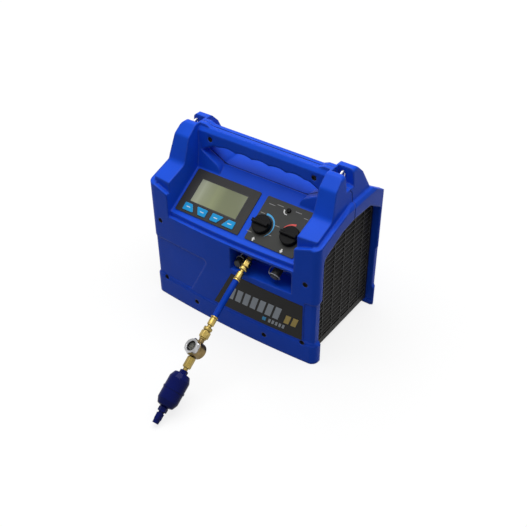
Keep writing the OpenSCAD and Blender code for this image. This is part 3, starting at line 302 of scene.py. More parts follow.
def turned(profile, place, around=72, shape=None):
    """Surface of revolution: the point at angle a is (r cos a, r sin a, z) for each (r, z) of the
    profile, and shape may change r by angle. A profile with r = 0 at both ends is closed by them."""
    p = np.asarray(profile, float)
    a = np.linspace(0, 2 * pi, around, endpoint=False)[None, :]
    r = np.repeat(p[:, :1], around, 1)
    z = np.repeat(p[:, 1:2], around, 1)
    if shape:
        r = shape(a, r)
    return put(place, np.stack([r * np.cos(a), r * np.sin(a), z], -1))


def flats(af):
    """Radius cut to six flats: the lesser of r and half of af over the cosine from the nearest flat."""
    return lambda a, r: np.minimum(r, af / 2 / np.cos((a + pi / 6) % (pi / 3) - pi / 6))


def swept(path, r, around):
    """Round tube: at each point of the path a ring of radius r stands square to the tangent, and the ends
    close on the path's own ends."""
    p = np.asarray(path, float)
    t = np.gradient(p, axis=0)
    t /= np.linalg.norm(t, axis=1)[:, None]
    off_path = np.array([0.13, 0.21, 0.97])
    side = np.cross(t, off_path)
    side /= np.linalg.norm(side, axis=1)[:, None]
    lift = np.cross(side, t)
    a = np.linspace(0, 2 * pi, around, endpoint=False)
    ring = np.cos(a)[None, :, None] * side[:, None] + np.sin(a)[None, :, None] * lift[:, None]
    ends = np.repeat(p[:, None], around, 1)
    return np.concatenate([ends[:1], p[:, None] + r * ring, ends[-1:]])


def ribbon(path, across, half, out, thick):
    """Flat band: a rectangle, half wide to each side and thick outwards, carried along the path."""
    p = np.asarray(path, float)
    a = np.asarray(across, float) * half
    o = np.broadcast_to(np.asarray(out, float), p.shape) * thick
    loop = np.stack([p - a, p + a, p + a + o, p - a + o], 1)
    middle = np.repeat((p + o / 2)[:, None], 4, 1)
    return np.concatenate([middle[:1], loop, middle[-1:]])


def bar(u, v, half_length, half_width, level, thick, points):
    """Printed bar on the deck: a flat band along u, half_length to each side of its middle."""
    line = np.linspace(u - half_length, u + half_length, points)
    path = np.stack([line, np.full(points, v), np.full(points, level)], -1)
    return put(DECK, ribbon(path, (0, 1, 0), half_width, (0, 0, 1), thick))


def plate(outline, lift, thick):
    """Thin plate from an outline of (n, 3) points: the outline, the outline moved by thick along lift,
    and a fan from the middle of each."""
    p = np.asarray(outline, float)
    up = p + np.asarray(lift, float) * thick
    low = np.repeat(p.mean(0)[None], len(p), 0)
    high = np.repeat(up.mean(0)[None], len(p), 0)
    return np.stack([low, p, up, high])


def rect_loop(outer, inner, level):
    """Thin film between an outer and an inner rectangle on the deck: four rectangles, outer and inner at
    two levels, joined in a ring."""
    def corners(u0, v0, u1, v1):
        return np.array([(u0, v0), (u1, v0), (u1, v1), (u0, v1)], float)

    out, hole, top = corners(*outer), corners(*inner), level + INK_T
    rows = [(out, level), (out, top), (hole, top), (hole, level), (out, level)]
    return np.stack([put(DECK, np.column_stack([flat, np.full(4, height)])) for flat, height in rows])


def face_patch(corners, lift, rows=14, cols=40):
    """Sheet on the bowed front: a blend of four (x, z) corners, lift further out than the bow at each x."""
    bl, br, tr, tl = (np.array(c, float) for c in corners)
    s, t = np.meshgrid(np.linspace(0, 1, cols), np.linspace(0, 1, rows), indexing="xy")
    s, t = s[..., None], t[..., None]
    p = (1 - t) * ((1 - s) * bl + s * br) + t * ((1 - s) * tl + s * tr)
    return np.stack([p[..., 0], -face_y(p[..., 0]) - lift, p[..., 1]], -1)


def film(corners, lift, thick, steps=8):
    """Closed thin film on the bowed front: the sheet's edge at lift and at lift plus thick, then smaller
    and smaller edges up to the middle of the upper sheet, and a fan from the middle of the lower one."""
    corners = np.array(corners, float)
    middle = corners.mean(0)

    def rim(share, height):
        sheet = face_patch(middle + (corners - middle) * share, height)
        return np.concatenate([sheet[0], sheet[1:, -1], sheet[-1, -2::-1], sheet[-2:0:-1, 0]])

    low = rim(1, lift)
    under = np.repeat(face_patch(corners, lift).mean((0, 1))[None], len(low), 0)
    return np.stack([under, low, *(rim(k, lift + thick) for k in np.linspace(1, 0, steps + 1))])


def slanted(x, z, width, height, lean):
    """Corners of a slanted bar that stands at x, z and leans to the right."""
    return (x, z), (x + width, z), (x + width + lean, z + height), (x + lean, z + height)


# Making pieces
def add_object(name, data):
    obj = bpy.data.objects.new(name, data)
    bpy.context.scene.collection.objects.link(obj)
    return obj


def piece(name, grids, look, body="case", stands_for=(), crease=38):
    """One object from closed grids: points that meet are merged, faces turned outwards and edges under
    the crease angle shaded smooth."""
    points, faces, start = [], [], 0
    for grid in grids:
        rows, cols = grid.shape[:2]
        points.append(grid.reshape(-1, 3))
        faces.append(grid_faces(rows, cols, True) + start)
        start += rows * cols
    mesh = bpy.data.meshes.new(name)
    mesh.from_pydata(np.concatenate(points) * MM, [], np.concatenate(faces).tolist())
    bm = bmesh.new()
    bm.from_mesh(mesh)
    bmesh.ops.remove_doubles(bm, verts=bm.verts, dist=2e-6)
    bmesh.ops.recalc_face_normals(bm, faces=bm.faces)
    bm.to_mesh(mesh)
    bm.free()
    mesh.shade_smooth()
    mesh.set_sharp_from_angle(angle=radians(crease))
    mesh.materials.append(look)
    obj = add_object(name, mesh)
    if stands_for:
        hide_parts(*stands_for)
    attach(obj, body)
    return obj


def hexed(name, profile, place, af, look, stands_for=(), crease=25):
    """Turned piece whose wider parts are cut to six flats, af across."""
    grid = turned(profile, place, HEX_STEPS, flats(af))
    return piece(name, [grid], look, stands_for=stands_for, crease=crease)


def dress(look, *nodes):
    """Gives CAD nodes a finish."""
    for name in nodes:
        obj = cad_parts[name]
        if not obj.material_slots:
            obj.data.materials.append(look)
        for slot in obj.material_slots:
            slot.material = look


# Finishes
class Tree:
    """A node tree with short ways to add and join its nodes."""

    def __init__(self, owner):
        owner.use_nodes = True
        self.tree = owner.node_tree

    def add(self, kind, inputs=(), **values):
        """A new node with the given values, and with its inputs joined or set by name or number."""
        node = self.tree.nodes.new(kind)
        for key, value in values.items():
            setattr(node, key, value)
        for key, source in dict(inputs).items():
            self.join(source, node.inputs[key])
        return node

    def join(self, source, socket):
        """Leads an output to a socket, or sets a number or colour on it."""
        if isinstance(source, bpy.types.NodeSocket):
            self.tree.links.new(source, socket)
        else:
            socket.default_value = source

    def math(self, operation, *values):
        return self.add("ShaderNodeMath", enumerate(values), operation=operation).outputs[0]

    def seen_rays(self):
        """1 for rays that see the surroundings directly or in gloss or glass, 0 for the light they shed."""
        path = self.add("ShaderNodeLightPath").outputs
        gloss = self.math("MAXIMUM", path["Is Camera Ray"], path["Is Glossy Ray"])
        return self.math("MAXIMUM", gloss, path["Is Transmission Ray"])


class Finish(Tree):
    """A Principled material with its nodes at hand, reading Object coordinates. The frame's own is taken
    up where it has one of that name."""

    def __init__(self, name):
        self.mat = bpy.data.materials.get(name) or bpy.data.materials.new(name)
        super().__init__(self.mat)
        self.shader = next(n for n in self.tree.nodes if n.type == "BSDF_PRINCIPLED")
        self.coords = self.add("ShaderNodeTexCoord").outputs["Object"]

    def set(self, **values):
        for key, value in values.items():
            self.shader.inputs[key.replace("_", " ").title().replace("Ior", "IOR")].default_value = value

    def paint(self, source):
        self.join(source, self.shader.inputs["Base Color"])

    def sheen(self, source, low, high):
        """Roughness from low to high as the source rises."""
        self.join(self.span(source, low, high), self.shader.inputs["Roughness"])

    def noise(self, scale, detail=3.0, stretch=None):
        source = self.coords
        if stretch is not None:
            source = self.add("ShaderNodeMapping", {"Scale": stretch, "Vector": source}).outputs["Vector"]
        node = self.add("ShaderNodeTexNoise", {"Scale": scale, "Detail": detail, "Vector": source})
        return node.outputs["Fac"]

    def span(self, source, low, high, from_low=0.3, from_high=0.7):
        """Maps a source, by default within the span of most noise, to low and high."""
        node = self.add("ShaderNodeMapRange", {
            "Value": source, "From Min": from_low, "From Max": from_high, "To Min": low, "To Max": high})
        return node.outputs["Result"]

    def ramp(self, source, *stops):
        node = self.add("ShaderNodeValToRGB", {"Fac": source})
        band = node.color_ramp
        while len(band.elements) < len(stops):
            band.elements.new(0.5)
        for element, (at, rgb) in zip(band.elements, stops):
            element.position = at
            element.color = (*rgb, 1)
        return node.outputs["Color"]

    def blend(self, factor, a, b):
        """Colour a where the factor is 0 and b where it is 1, by a Mix node's sockets for colours."""
        a, b = (v if isinstance(v, bpy.types.NodeSocket) else (*v, 1) for v in (a, b))
        return self.add("ShaderNodeMix", {0: factor, 6: a, 7: b}, data_type="RGBA").outputs[2]

    def edges(self, radius):
        """How far a rounded normal leans off the face, 0 on a flat and 1 along an edge; and that normal."""
        rounded = self.add("ShaderNodeBevel", {"Radius": radius}, samples=8).outputs["Normal"]
        face = self.add("ShaderNodeNewGeometry").outputs["Normal"]
        dot = self.add("ShaderNodeVectorMath", {0: rounded, 1: face}, operation="DOT_PRODUCT")
        lean = self.span(dot.outputs["Value"], 1.0, 0.0, from_low=0.86, from_high=0.995)
        return lean, rounded

    def painted_groove_shade(self, reach):
        """Mask for painted shade: 0 in a groove that hides the surroundings within reach, 1 on an open face.
        """
        node = self.add("ShaderNodeAmbientOcclusion", {"Distance": reach}, samples=8)
        return self.span(node.outputs["AO"], 0.0, 1.0, from_low=0.35, from_high=0.95)

    def bump(self, height, distance, strength, normal=None):
        node = self.add("ShaderNodeBump", {"Height": height, "Distance": distance, "Strength": strength})
        if normal is not None:
            self.join(normal, node.inputs["Normal"])
        self.join(node.outputs["Normal"], self.shader.inputs["Normal"])


def shade(rgb, k):
    """Each channel times k, kept between 0 and 1."""
    return tuple(min(max(c * k, 0.0), 1.0) for c in rgb)


def paler(rgb, k):
    """Each channel moved towards white by the share k."""
    return tuple(c + (1 - c) * k for c in rgb)


def moulded(name, rgb, rough=0.45, grain=900, depth=0.00008, edge=0.0012, wear=0.04, mottle=0.07,
            specular=0.35):
    """Moulded plastic: fine spark texture in bump and roughness, drifting colour, paler worn edges."""
    f = Finish(name)
    f.set(specular_ior_level=specular)
    worn, normal = f.edges(edge)
    drift = f.ramp(f.noise(14, detail=4), (0.3, shade(rgb, 1 - mottle)), (0.7, shade(rgb, 1 + mottle)))
    scuff = f.math("MULTIPLY", worn, f.span(f.noise(60, detail=5), 0.1, 1.0))
    f.paint(f.blend(scuff, drift, paler(rgb, wear)))
    spark = f.noise(grain, detail=2)
    f.sheen(spark, rough - 0.06, rough + 0.08)
    f.bump(spark, depth, strength=0.35, normal=normal)
    return f.mat


def metal(name, rgb, rough=0.25, streak=(1, 1, 1), tarnish=0.25, edge=0.0004, scale=240, groove=0.004):
    """Turned or rolled metal: drawn-out noise in roughness and bump, patches of tarnish, edges paler from
    wear and a painted highlight, and painted shade in the grooves.
    """
    f = Finish(name)
    f.set(metallic=1.0)
    worn, normal = f.edges(edge)
    patches = f.ramp(f.noise(70, detail=5), (0.35, shade(rgb, 1 - tarnish)), (0.65, rgb))
    # Paler edges: partly wear, partly a painted highlight
    bright = f.blend(worn, patches, paler(rgb, 0.25))
    # Painted shade: the colour darkens to 0.22 of itself in grooves, within the reach given by groove
    f.paint(f.blend(f.painted_groove_shade(groove), shade(rgb, 0.22), bright))
    lines = f.noise(scale, detail=4, stretch=streak)
    f.sheen(lines, rough - 0.07, rough + 0.1)
    f.bump(lines, distance=0.00005, strength=0.25, normal=normal)
    return f.mat


def rubber(name, rgb, rough=0.6, scale=500):
    """Rubber: a dusty bloom over the colour, and a fine pitted bump."""
    f = Finish(name)
    f.set(specular_ior_level=0.05)
    f.paint(f.ramp(f.noise(45, detail=5), (0.4, rgb), (0.8, paler(shade(rgb, 1.1), 0.012))))
    pits = f.noise(scale)
    f.sheen(pits, rough - 0.08, rough + 0.1)
    f.bump(pits, distance=0.00008, strength=0.3)
    return f.mat


def enamel(name, rgb, rough=0.16):
    """Gloss enamel over pressed steel: orange peel in the bump under a clear coat."""
    f = Finish(name)
    f.set(specular_ior_level=0.02, coat_weight=0.32, coat_roughness=0.05, coat_ior=1.26)
    f.paint(f.ramp(f.noise(25, detail=4), (0.3, shade(rgb, 0.85)), (0.7, shade(rgb, 1.15))))
    peel = f.noise(320, detail=2)
    f.sheen(peel, rough - 0.04, rough + 0.06)
    f.bump(peel, distance=0.00006, strength=0.2)
    return f.mat


def printed(name, rgb, rough=0.5):
    """Screen-printed ink: slight unevenness of the film in colour and sheen."""
    f = Finish(name)
    ink = f.noise(700)
    f.paint(f.ramp(ink, (0.3, shade(rgb, 0.9)), (0.7, shade(rgb, 1.05))))
    f.sheen(ink, rough - 0.08, rough + 0.08)
    return f.mat


def display_glass(name, rgb):
    """Unlit display behind a clear window: painted light that drifts from pale at the left to olive at the
    right, soft upright streaks of rubbed polariser, and a glossy face."""
    f = Finish(name)
    f.set(specular_ior_level=0.2, coat_weight=0.14, coat_roughness=0.05)
    split = f.add("ShaderNodeSeparateXYZ", {"Vector": f.coords})
    across = f.span(split.outputs["X"], 0.0, 1.0, from_low=-0.128, from_high=-0.012)
    olive = shade(rgb, 0.6)
    # Painted light: the window is paler at the left and darker olive at the right
    drift = f.ramp(across, (0.0, paler(rgb, 0.22)), (0.42, rgb), (0.62, shade(rgb, 0.66)), (1.0, olive))
    streaks = f.noise(60, detail=2, stretch=(1, 0.08, 0.08))
    f.paint(f.blend(f.span(streaks, 0.0, 0.35), drift, olive))
    f.sheen(f.noise(30), 0.12, 0.24)
    return f.mat


def board(name, rgb):
    """Printed board: a brick of traces and pads under green resist."""
    f = Finish(name)
    brick = f.add("ShaderNodeTexBrick", {
        "Vector": f.coords, "Scale": 160, "Mortar Size": 0.03, "Color1": (*rgb, 1),
        "Color2": (*shade(rgb, 0.75), 1), "Mortar": (*paler(rgb, 0.15), 1)})
    f.paint(brick.outputs["Color"])
    f.sheen(f.noise(300), 0.3, 0.5)
    return f.mat


def sight_lens(name, centre, radius=0.010):
    """Thick sight glass: a pale disc, a grey ring and a black rim by distance from the centre."""
    f = Finish(name)
    f.set(specular_ior_level=0.5, coat_weight=0.5, coat_roughness=0.03)
    away = f.add("ShaderNodeVectorMath", {0: f.coords, 1: centre}, operation="DISTANCE")
    rings = f.ramp(
        f.span(away.outputs["Value"], 0.0, 1.0, from_low=0.0, from_high=radius),
        (0.0, (0.42, 0.40, 0.33)), (0.30, (0.36, 0.36, 0.31)), (0.40, (0.20, 0.21, 0.19)),
        (0.66, (0.26, 0.27, 0.25)), (0.74, (0.02, 0.02, 0.02)), (1.0, (0.03, 0.03, 0.03)))
    f.paint(f.blend(f.span(f.noise(220), 0.0, 0.2), rings, (0.20, 0.19, 0.14)))
    f.sheen(f.noise(90, detail=2), 0.05, 0.15)
    return f.mat


def dulled(name, rgb, rough, scale=120):
    """Plain machine finish for screws and the pieces inside: grime in the colour and roughness."""
    f = Finish(name)
    grime = f.noise(scale, detail=5)
    f.paint(f.ramp(grime, (0.3, shade(rgb, 0.7)), (0.7, shade(rgb, 1.1))))
    f.sheen(grime, rough + 0.12, rough - 0.05)
    f.bump(grime, distance=0.0002, strength=0.2)
    return f.mat


# Stage
def set_camera(stage):
    """Camera at its place, turned to look down along the azimuth and elevation."""
    data = bpy.data.cameras.new("camera")
    data.sensor_fit = "HORIZONTAL"
    data.sensor_width = SENSOR_WIDTH
    data.lens = stage.lens
    camera = add_object("camera", data)
    camera.location = stage.camera_at
    a, e = stage.azimuth, stage.elevation
    back = Vector((sin(a) * cos(e), -cos(a) * cos(e), sin(e)))
    camera.rotation_mode = "QUATERNION"
    camera.rotation_quaternion = (-back).to_track_quat("-Z", "Y") @ Quaternion((0, 0, 1), stage.roll)
    bpy.context.scene.camera = camera


def lay_floor(stage):
    """Wide floor that takes shadows, and glows for the rays that see it so that it reads as white."""
    s = np.linspace(-FLOOR_HALF, FLOOR_HALF, FLOOR_POINTS)
    x, y = np.meshgrid(s, s, indexing="ij")
    points = np.stack([x, y, np.full_like(x, -FLOOR_DROP)], -1).reshape(-1, 3)
    mesh = bpy.data.meshes.new("floor")
    mesh.from_pydata(points, [], grid_faces(FLOOR_POINTS, FLOOR_POINTS, False)[:, ::-1].tolist())
    add_object("floor", mesh)
    mat = bpy.data.materials.new("floor")
    mesh.materials.append(mat)
    t = Tree(mat)
    t.tree.nodes.clear()
    matt = t.add("ShaderNodeBsdfDiffuse", {"Color": (*[stage.floor_shade] * 3, 1)})
    place = t.add("ShaderNodeTexCoord").outputs["Object"]
    away = t.add("ShaderNodeVectorMath", {0: place, 1: place}, operation="DOT_PRODUCT")
    # The glow makes up for the lamp's light, which falls off with distance as 1 / (1 + (r / h) ** 2) ** 2
    spread = t.math("MULTIPLY_ADD", away.outputs["Value"], stage.lamp_height**-2, 1.0)
    lit = t.math("POWER", spread, -2.0)
    lacking = t.math("MULTIPLY_ADD", lit, -LAMP_SHARE * stage.floor_shade, 1.0)
    glow = t.add("ShaderNodeEmission", {"Strength": t.math("MULTIPLY", lacking, t.seen_rays())})
    both = t.add("ShaderNodeAddShader", {0: matt.outputs[0], 1: glow.outputs[0]})
    t.add("ShaderNodeOutputMaterial", {"Surface": both.outputs[0]})


def hang_lamp(stage):
    """One soft square lamp overhead."""
    data = bpy.data.lights.new("overhead", "AREA")
    data.size = stage.lamp_size
    data.energy = stage.lamp_power
    add_object("overhead", data).location = (*LAMP_AT, stage.lamp_height)


def set_surroundings(stage):
    """White all round for the rays that see it, and a dimmer even light for the rest."""
    world = bpy.data.worlds.new("surroundings")
    t = Tree(world)
    t.tree.nodes.clear()
    light = t.add("ShaderNodeMapRange", {"Value": t.seen_rays(), "To Min": stage.ambient, "To Max": 1.0})
    sky = t.add("ShaderNodeBackground", {"Color": (1, 1, 1, 1), "Strength": light.outputs["Result"]})
    t.add("ShaderNodeOutputWorld", {"Surface": sky.outputs[0]})
    bpy.context.scene.world = world


def build_stage(stage):
    """Camera at the viewing angle, a wide floor, one soft overhead lamp and white surroundings."""
    bpy.context.scene.view_settings.view_transform = "Standard"
    set_camera(stage)
    lay_floor(stage)
    hang_lamp(stage)
    set_surroundings(stage)


# Hose and filter
def turned_brass(name, rgb, rough):
    """Brass with the turning marks drawn out along it."""
    # groove sets how far the painted shade in the grooves reaches
    return metal(name, rgb, rough, streak=(1, 1, 6), tarnish=0.4, groove=0.006)


def swivel_nut(name, place, fit, look, node, flip=False):
    """Brass swivel nut: a lead ring, a hexagon with rounded corners, a groove, a collar and the neck that
    runs into the ferrule. Six flats cut the hexagon's radius and leave the slimmer rings round."""
    r = fit.nut_d / MM / 2
    slim, corner, collar = r - 2.0, r + 0.5, r - 0.3
    end = NUT_L + NUT_NECK_L - 2 * GAP
    profile = softened([
        (0, GAP, 0), (r - 2.6, GAP, 0.6), (slim, 0.8, 0.4), (slim, 2.6, 0.4), (r - 0.2, 3.4, 0.4),
        (corner, 4.6, 0.4), (corner, 15.4, 0.5), (r - 0.4, 16.8, 0.4), (slim, 17.2, 0.3),
        (slim, 18.4, 0.3), (r - 0.6, 18.9, 0.4), (collar, 19.8, 0.4), (collar, 24.2, 0.5),
        (r - 1.2, 25.2, 0.4), (NUT_NECK_R, 25.4, 0), (NUT_NECK_R, end, 0), (0, end, 0),
    ])
    if flip:
        profile[:, 1] = NUT_L - profile[:, 1]
    af = 2 * r - 0.9
    return hexed(name, profile, place, af, look, (node,), crease=32)


def ferrule(name, place, fit, look, node, flip=False):
    """Crimped brass sleeve with a groove and a raised lip: a profile turned about the hose's axis."""
    r = fit.ferrule_d / MM / 2
    sleeve, groove = r - 0.5, r - 1.3
    end = FERRULE_L - GAP
    profile = softened([
        (0, GAP, 0), (r - 1.2, GAP, 0.5), (sleeve, 0.8, 0.4), (sleeve, 14.4, 0.4), (groove, 15.0, 0.3),
        (groove, 15.8, 0.3), (r, 16.4, 0.3), (r, 18.4, 0.3), (sleeve, end, 0.2), (0, end, 0),
    ])
    if flip:
        profile[:, 1] = FERRULE_L - profile[:, 1]
    return piece(name, [turned(profile, place)], look, stands_for=(node,))


def build_hose(fit, tint):
    """Charging hose as a round tube along its route, with its nuts and ferrules."""
    brass = turned_brass("bright_brass", tint.brass, 0.22)
    # A darker copy of the brass, 0.8 of its colour, for the lower ferrule and nut
    darker_brass = turned_brass("darker_lower_brass", shade(tint.brass, 0.8), 0.24)
    curve = bpy.data.curves.new("charging_hose_tube", "CURVE")
    curve.dimensions = "3D"
    spline = curve.splines.new("POLY")
    spline.points.add(len(ROUTE) - 1)
    spline.points.foreach_set("co", np.concatenate([ROUTE * MM, np.ones((len(ROUTE), 1))], 1).ravel())
    spline.use_smooth = True
    curve.bevel_depth = fit.hose_d / 2
    curve.bevel_resolution = 10
    curve.use_fill_caps = True
    curve.materials.append(rubber("hose_rubber", tint.hose, 0.42))
    hose = add_object("charging_hose_tube", curve)
    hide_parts("charging_hose")
    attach(hose, "case")
    on_it = [
        swivel_nut("swivel_nut_upper", raised(INLET_PORT, UPPER_NUT_AT), fit, brass, "hose_nut_upper"),
        ferrule("ferrule_upper", raised(INLET_PORT, UPPER_FERRULE_AT), fit, brass, "hose_ferrule_upper"),
        ferrule("ferrule_lower", HOSE_END, fit, darker_brass, "hose_ferrule_lower", True),
        swivel_nut("swivel_nut_lower", raised(HOSE_END, LOWER_NUT_AT), fit, darker_brass, "hose_nut_lower", True),
    ]
    on_it += build_sight_glass(tint) + build_filter(tint)


def build_sight_glass(tint):
    """Sight glass body, its lens, and the hexagonal clamp ring: a section turned about the glass's axis,
    its outer part cut to six flats."""
    cast = metal("cast_brass", tint.cast_brass, 0.36, tarnish=0.35, edge=0.0008, scale=160)
    dress(cast, "sight_glass_body")
    # groove sets how far the painted shade in the grooves reaches
    chrome = metal("chrome", CHROME, 0.16, streak=(1, 1, 4), tarnish=0.3, edge=0.0005, groove=0.006)
    # The glass looks along the hose end's y, rolled a little to the left
    middle, (x, y, z) = raised(HOSE_END, SIGHT_AT)
    roll = radians(SIGHT_ROLL)
    out = y * cos(roll) + x * sin(roll)
    glass = (middle, np.array([np.cross(z, out), z, out]))
    lens_level = 17.0
    dress(sight_lens("sight_lens", raised(glass, lens_level)[0] * MM), "sight_glass_lens")
    af, inner, rim = 29.0, 9.3, 10.4
    corner = af / 2 / cos(pi / 6)
    section = [
        (inner, 11), (corner - 1.6, 11), (corner, 12.2), (corner, 17.2), (corner - 2.4, 19), (rim, 19),
        (rim - 0.4, 18.4), (inner, 16.8), (inner, 11),
    ]
    ring = hexed("clamp_ring", section, glass, af, chrome, ("sight_glass_ring",))
    return [ring, "sight_glass_body", "sight_glass_lens"]


def build_filter(tint):
    """Filter nut, filter drier with a hexagonal nut on each neck, and its cap, in line with the hose."""
    # A darker copy of the brass, 0.62 of its colour, for the filter nut
    worn = turned_brass("darkest_filter_brass", shade(tint.brass, 0.62), 0.28)
    navy = enamel("navy_enamel", tint.drier)
    dress(navy, "filter_drier", "filter_cap")
    sleeve_af, inlet_af, outlet_af = 14.6, 14.4, 15.8
    start = raised(HOSE_END, FILTER_NUT_AT)
    end = FILTER_NUT_L - 2 * GAP
    sleeve = softened([
        (0, -9, 0), (6.6, -9, 0.4), (8.1, -7.6, 0.5), (8.1, 12.6, 0.5), (7.0, 14, 0.4), (4.7, 14.2, 0),
        (4.7, end, 0), (0, end, 0),
    ])
    nut = hexed("filter_nut_hex", sleeve, start, sleeve_af, worn, ("filter_nut",))
    inlet_nut = softened([
        (0, 19.2, 0), (6.4, 19.2, 0.4), (8.0, 20.4, 0.5), (8.0, 28.6, 0.5), (6.8, 29.6, 0.4), (0, 29.6, 0),
    ])
    neck = hexed("drier_neck_nut", inlet_nut, start, inlet_af, navy)
    outlet_nut = softened([
        (0, -7, 0), (7.4, -7, 0.4), (9.0, -5.6, 0.5), (9.0, 1.6, 0.5), (7.8, 2.8, 0.4), (0, 2.8, 0),
    ])
    outlet = raised(HOSE_END, DRIER_END_AT)
    hexed("drier_outlet_nut", outlet_nut, outlet, outlet_af, navy)
    return [nut, neck, "filter_drier", "filter_cap"]


# Case
def strap_wire(name, side, look):
    """Bent steel wire that takes a shoulder strap: a round section carried up one leg, over a half circle
    across the pocket and down the other leg."""
    x = side * STRAP_X
    a = np.linspace(0, pi, 25)
    arch = np.stack([np.full_like(a, x), STRAP_HALF * np.cos(a), STRAP_ARCH + STRAP_HALF * np.sin(a)], -1)
    path = np.concatenate([[[x, STRAP_HALF, STRAP_ROOT]], arch, [[x, -STRAP_HALF, STRAP_ROOT]]])
    tube = swept(path, WIRE_R, around=20)
    piece(f"{name}_strap_wire", [tube], look, stands_for=(f"{name}_strap_eye",))


def screw_hole_shade(look):
    """Painted shade in the screw holes: a thin dark ring lining each hole, its section turned about the
    screw.
    The holes in the bumper start further out."""
    inner, outer, bottom = 5.0, 5.46, 4.46
    places = [(x, z, face_y(x)) for x, z in FACE_SCREWS] + [(*GRIP_SCREW, GRIP_DEPTH)]
    grids = []
    for x, z, depth in places:
        top = -1.3 if z < BUMPER_TOP else 0.3
        section = [(inner, top), (outer, top), (outer, bottom), (inner, bottom), (inner, top)]
        for side in (-1, 1):
            for end in (-1, 1):
                grids.append(turned(section, tilted((side * x, end * depth, z), 90 * end), around=40))
    piece("screw_hole_shade", grids, look)


def build_seam(look):
    """Painted shadow of the gap where the two shells meet, a dark line along the saddle, over the grip and
    down
    the towers: flat bands on straight runs between the corners of the seam."""
    def band(points, out):
        p = np.array(points, float)
        t = np.linspace(0, len(p) - 1, 12 * (len(p) - 1) + 1)
        path = np.stack([np.interp(t, np.arange(len(p)), p[:, k]) for k in range(3)], -1)
        return ribbon(path, (0, 1, 0), SEAM_HALF, out, SEAM_T)

    def mirrored(half):
        return [(-x, SEAM_Y, z) for x, z in reversed(half)] + [(x, SEAM_Y, z) for x, z in half]

    grids = [band(mirrored(half), (0, 0, 1)) for half in (SADDLE_SEAM, GRIP_SEAM)]
    for side in (-1, 1):
        tower = [(side * tower_x(z), SEAM_Y + y, z) for y, z in TOWER_JOG]
        grids.append(band(tower, (side, 0, -TOWER_SLOPE)))
        grids.append(band([(side * x, SEAM_Y, z) for x, z in SIDE_SEAM], (side, 0, 0)))
    piece("seam_line", grids, look)


def build_case(tint):
    """Moulded shells, louvred sides, base tray, strap eyes and screws."""
    dress(moulded("moulded_blue", tint.shell, rough=0.42, grain=800, depth=0.00010, edge=0.0055, wear=0.03,
                  mottle=0.05, specular=0.10), "front_shell", "rear_shell")
    dress(moulded("louvre_black", tint.grille, rough=0.5, depth=0.00006, edge=0.0008, wear=0.30,
                  mottle=0.1, specular=0.14), "left_grille", "right_grille")
    dress(moulded("tray_black", shade(tint.grille, 0.9), rough=0.55, grain=700, depth=0.0001, edge=0.001,
                  mottle=0.1, specular=0.14), "base_tray")
    wire = metal("bright_wire", WIRE_STEEL, 0.22, streak=(1, 1, 3), tarnish=0.15)
    strap_wire("left", -1, wire)
    strap_wire("right", 1, wire)
    build_seam(moulded("seam_shadow", shade(tint.shell, 0.05), rough=0.6, depth=0.00004, edge=0.0004,
                       wear=0.0, mottle=0.1, specular=0.05))
    black = dulled("black_screws", SCREW_BLACK, 0.6)
    dress(black, "front_screws", "rear_screws")
    # Dark rings in the screw holes are painted shade
    screw_hole_shade(black)


# Deck
def build_display(tint):
    """Display bezel and window with the films round it, and the four keys with their printed bars."""
    bezel = moulded("bezel_film", tint.bezel, rough=0.4, grain=1400, depth=0.00003, edge=0.0006, wear=0.03,
                    mottle=0.06, specular=0.15)
    dress(bezel, "display_bezel")
    dress(display_glass("display_face", tint.glass), "display_window")
    dress(moulded("module_grey", MODULE_GREY, rough=0.5), "display_module")
    dress(board("display_board", BOARD_GREEN), "display_board")
    mask = rect_loop(MASK_OUTER, MASK_INNER, MASK_LEVEL)
    piece("display_mask", [mask], bezel, crease=20)
    # A near-black ring of painted shadow round the window's edge, laid as a printed film
    line = rect_loop(LINE_OUTER, LINE_INNER, LINE_LEVEL)
    piece("display_shadow_line", [line], printed("display_shadow_black", SHADOW_LINE_BLACK), crease=20)
    cyan = moulded("key_cyan", tint.key, rough=0.38, grain=1200, depth=0.00003, edge=0.0009, wear=0.2,
                   mottle=0.05, specular=0.12)
    ink = printed("key_print", KEY_INK)
    for i in range(4):
        key = f"key_{i + 1}"
        dress(cyan, key)
        mark = bar(FIRST_KEY_U + i * KEY_PITCH, KEY_V, half_length=4.6, half_width=0.8, level=KEY_LEVEL,
                   thick=INK_T, points=6)
        piece(f"key_mark_{i + 1}", [mark], ink, body=key)


def arc_mark(name, look, centre, r, halves, start, end):
    """Printed arc round a knob: a band along a circle on the valve panel, its half width going evenly
    from the first of the halves to the second."""
    a = np.radians(np.linspace(start, end, ARC_POINTS))
    half = np.linspace(*halves, ARC_POINTS)[:, None]
    spoke = np.stack([np.cos(a), np.sin(a), np.zeros_like(a)], -1)
    path = np.array([*centre, PANEL_LEVEL]) + r * spoke
    piece(name, [put(DECK, ribbon(path, spoke, half, (0, 0, 1), INK_T))], look)


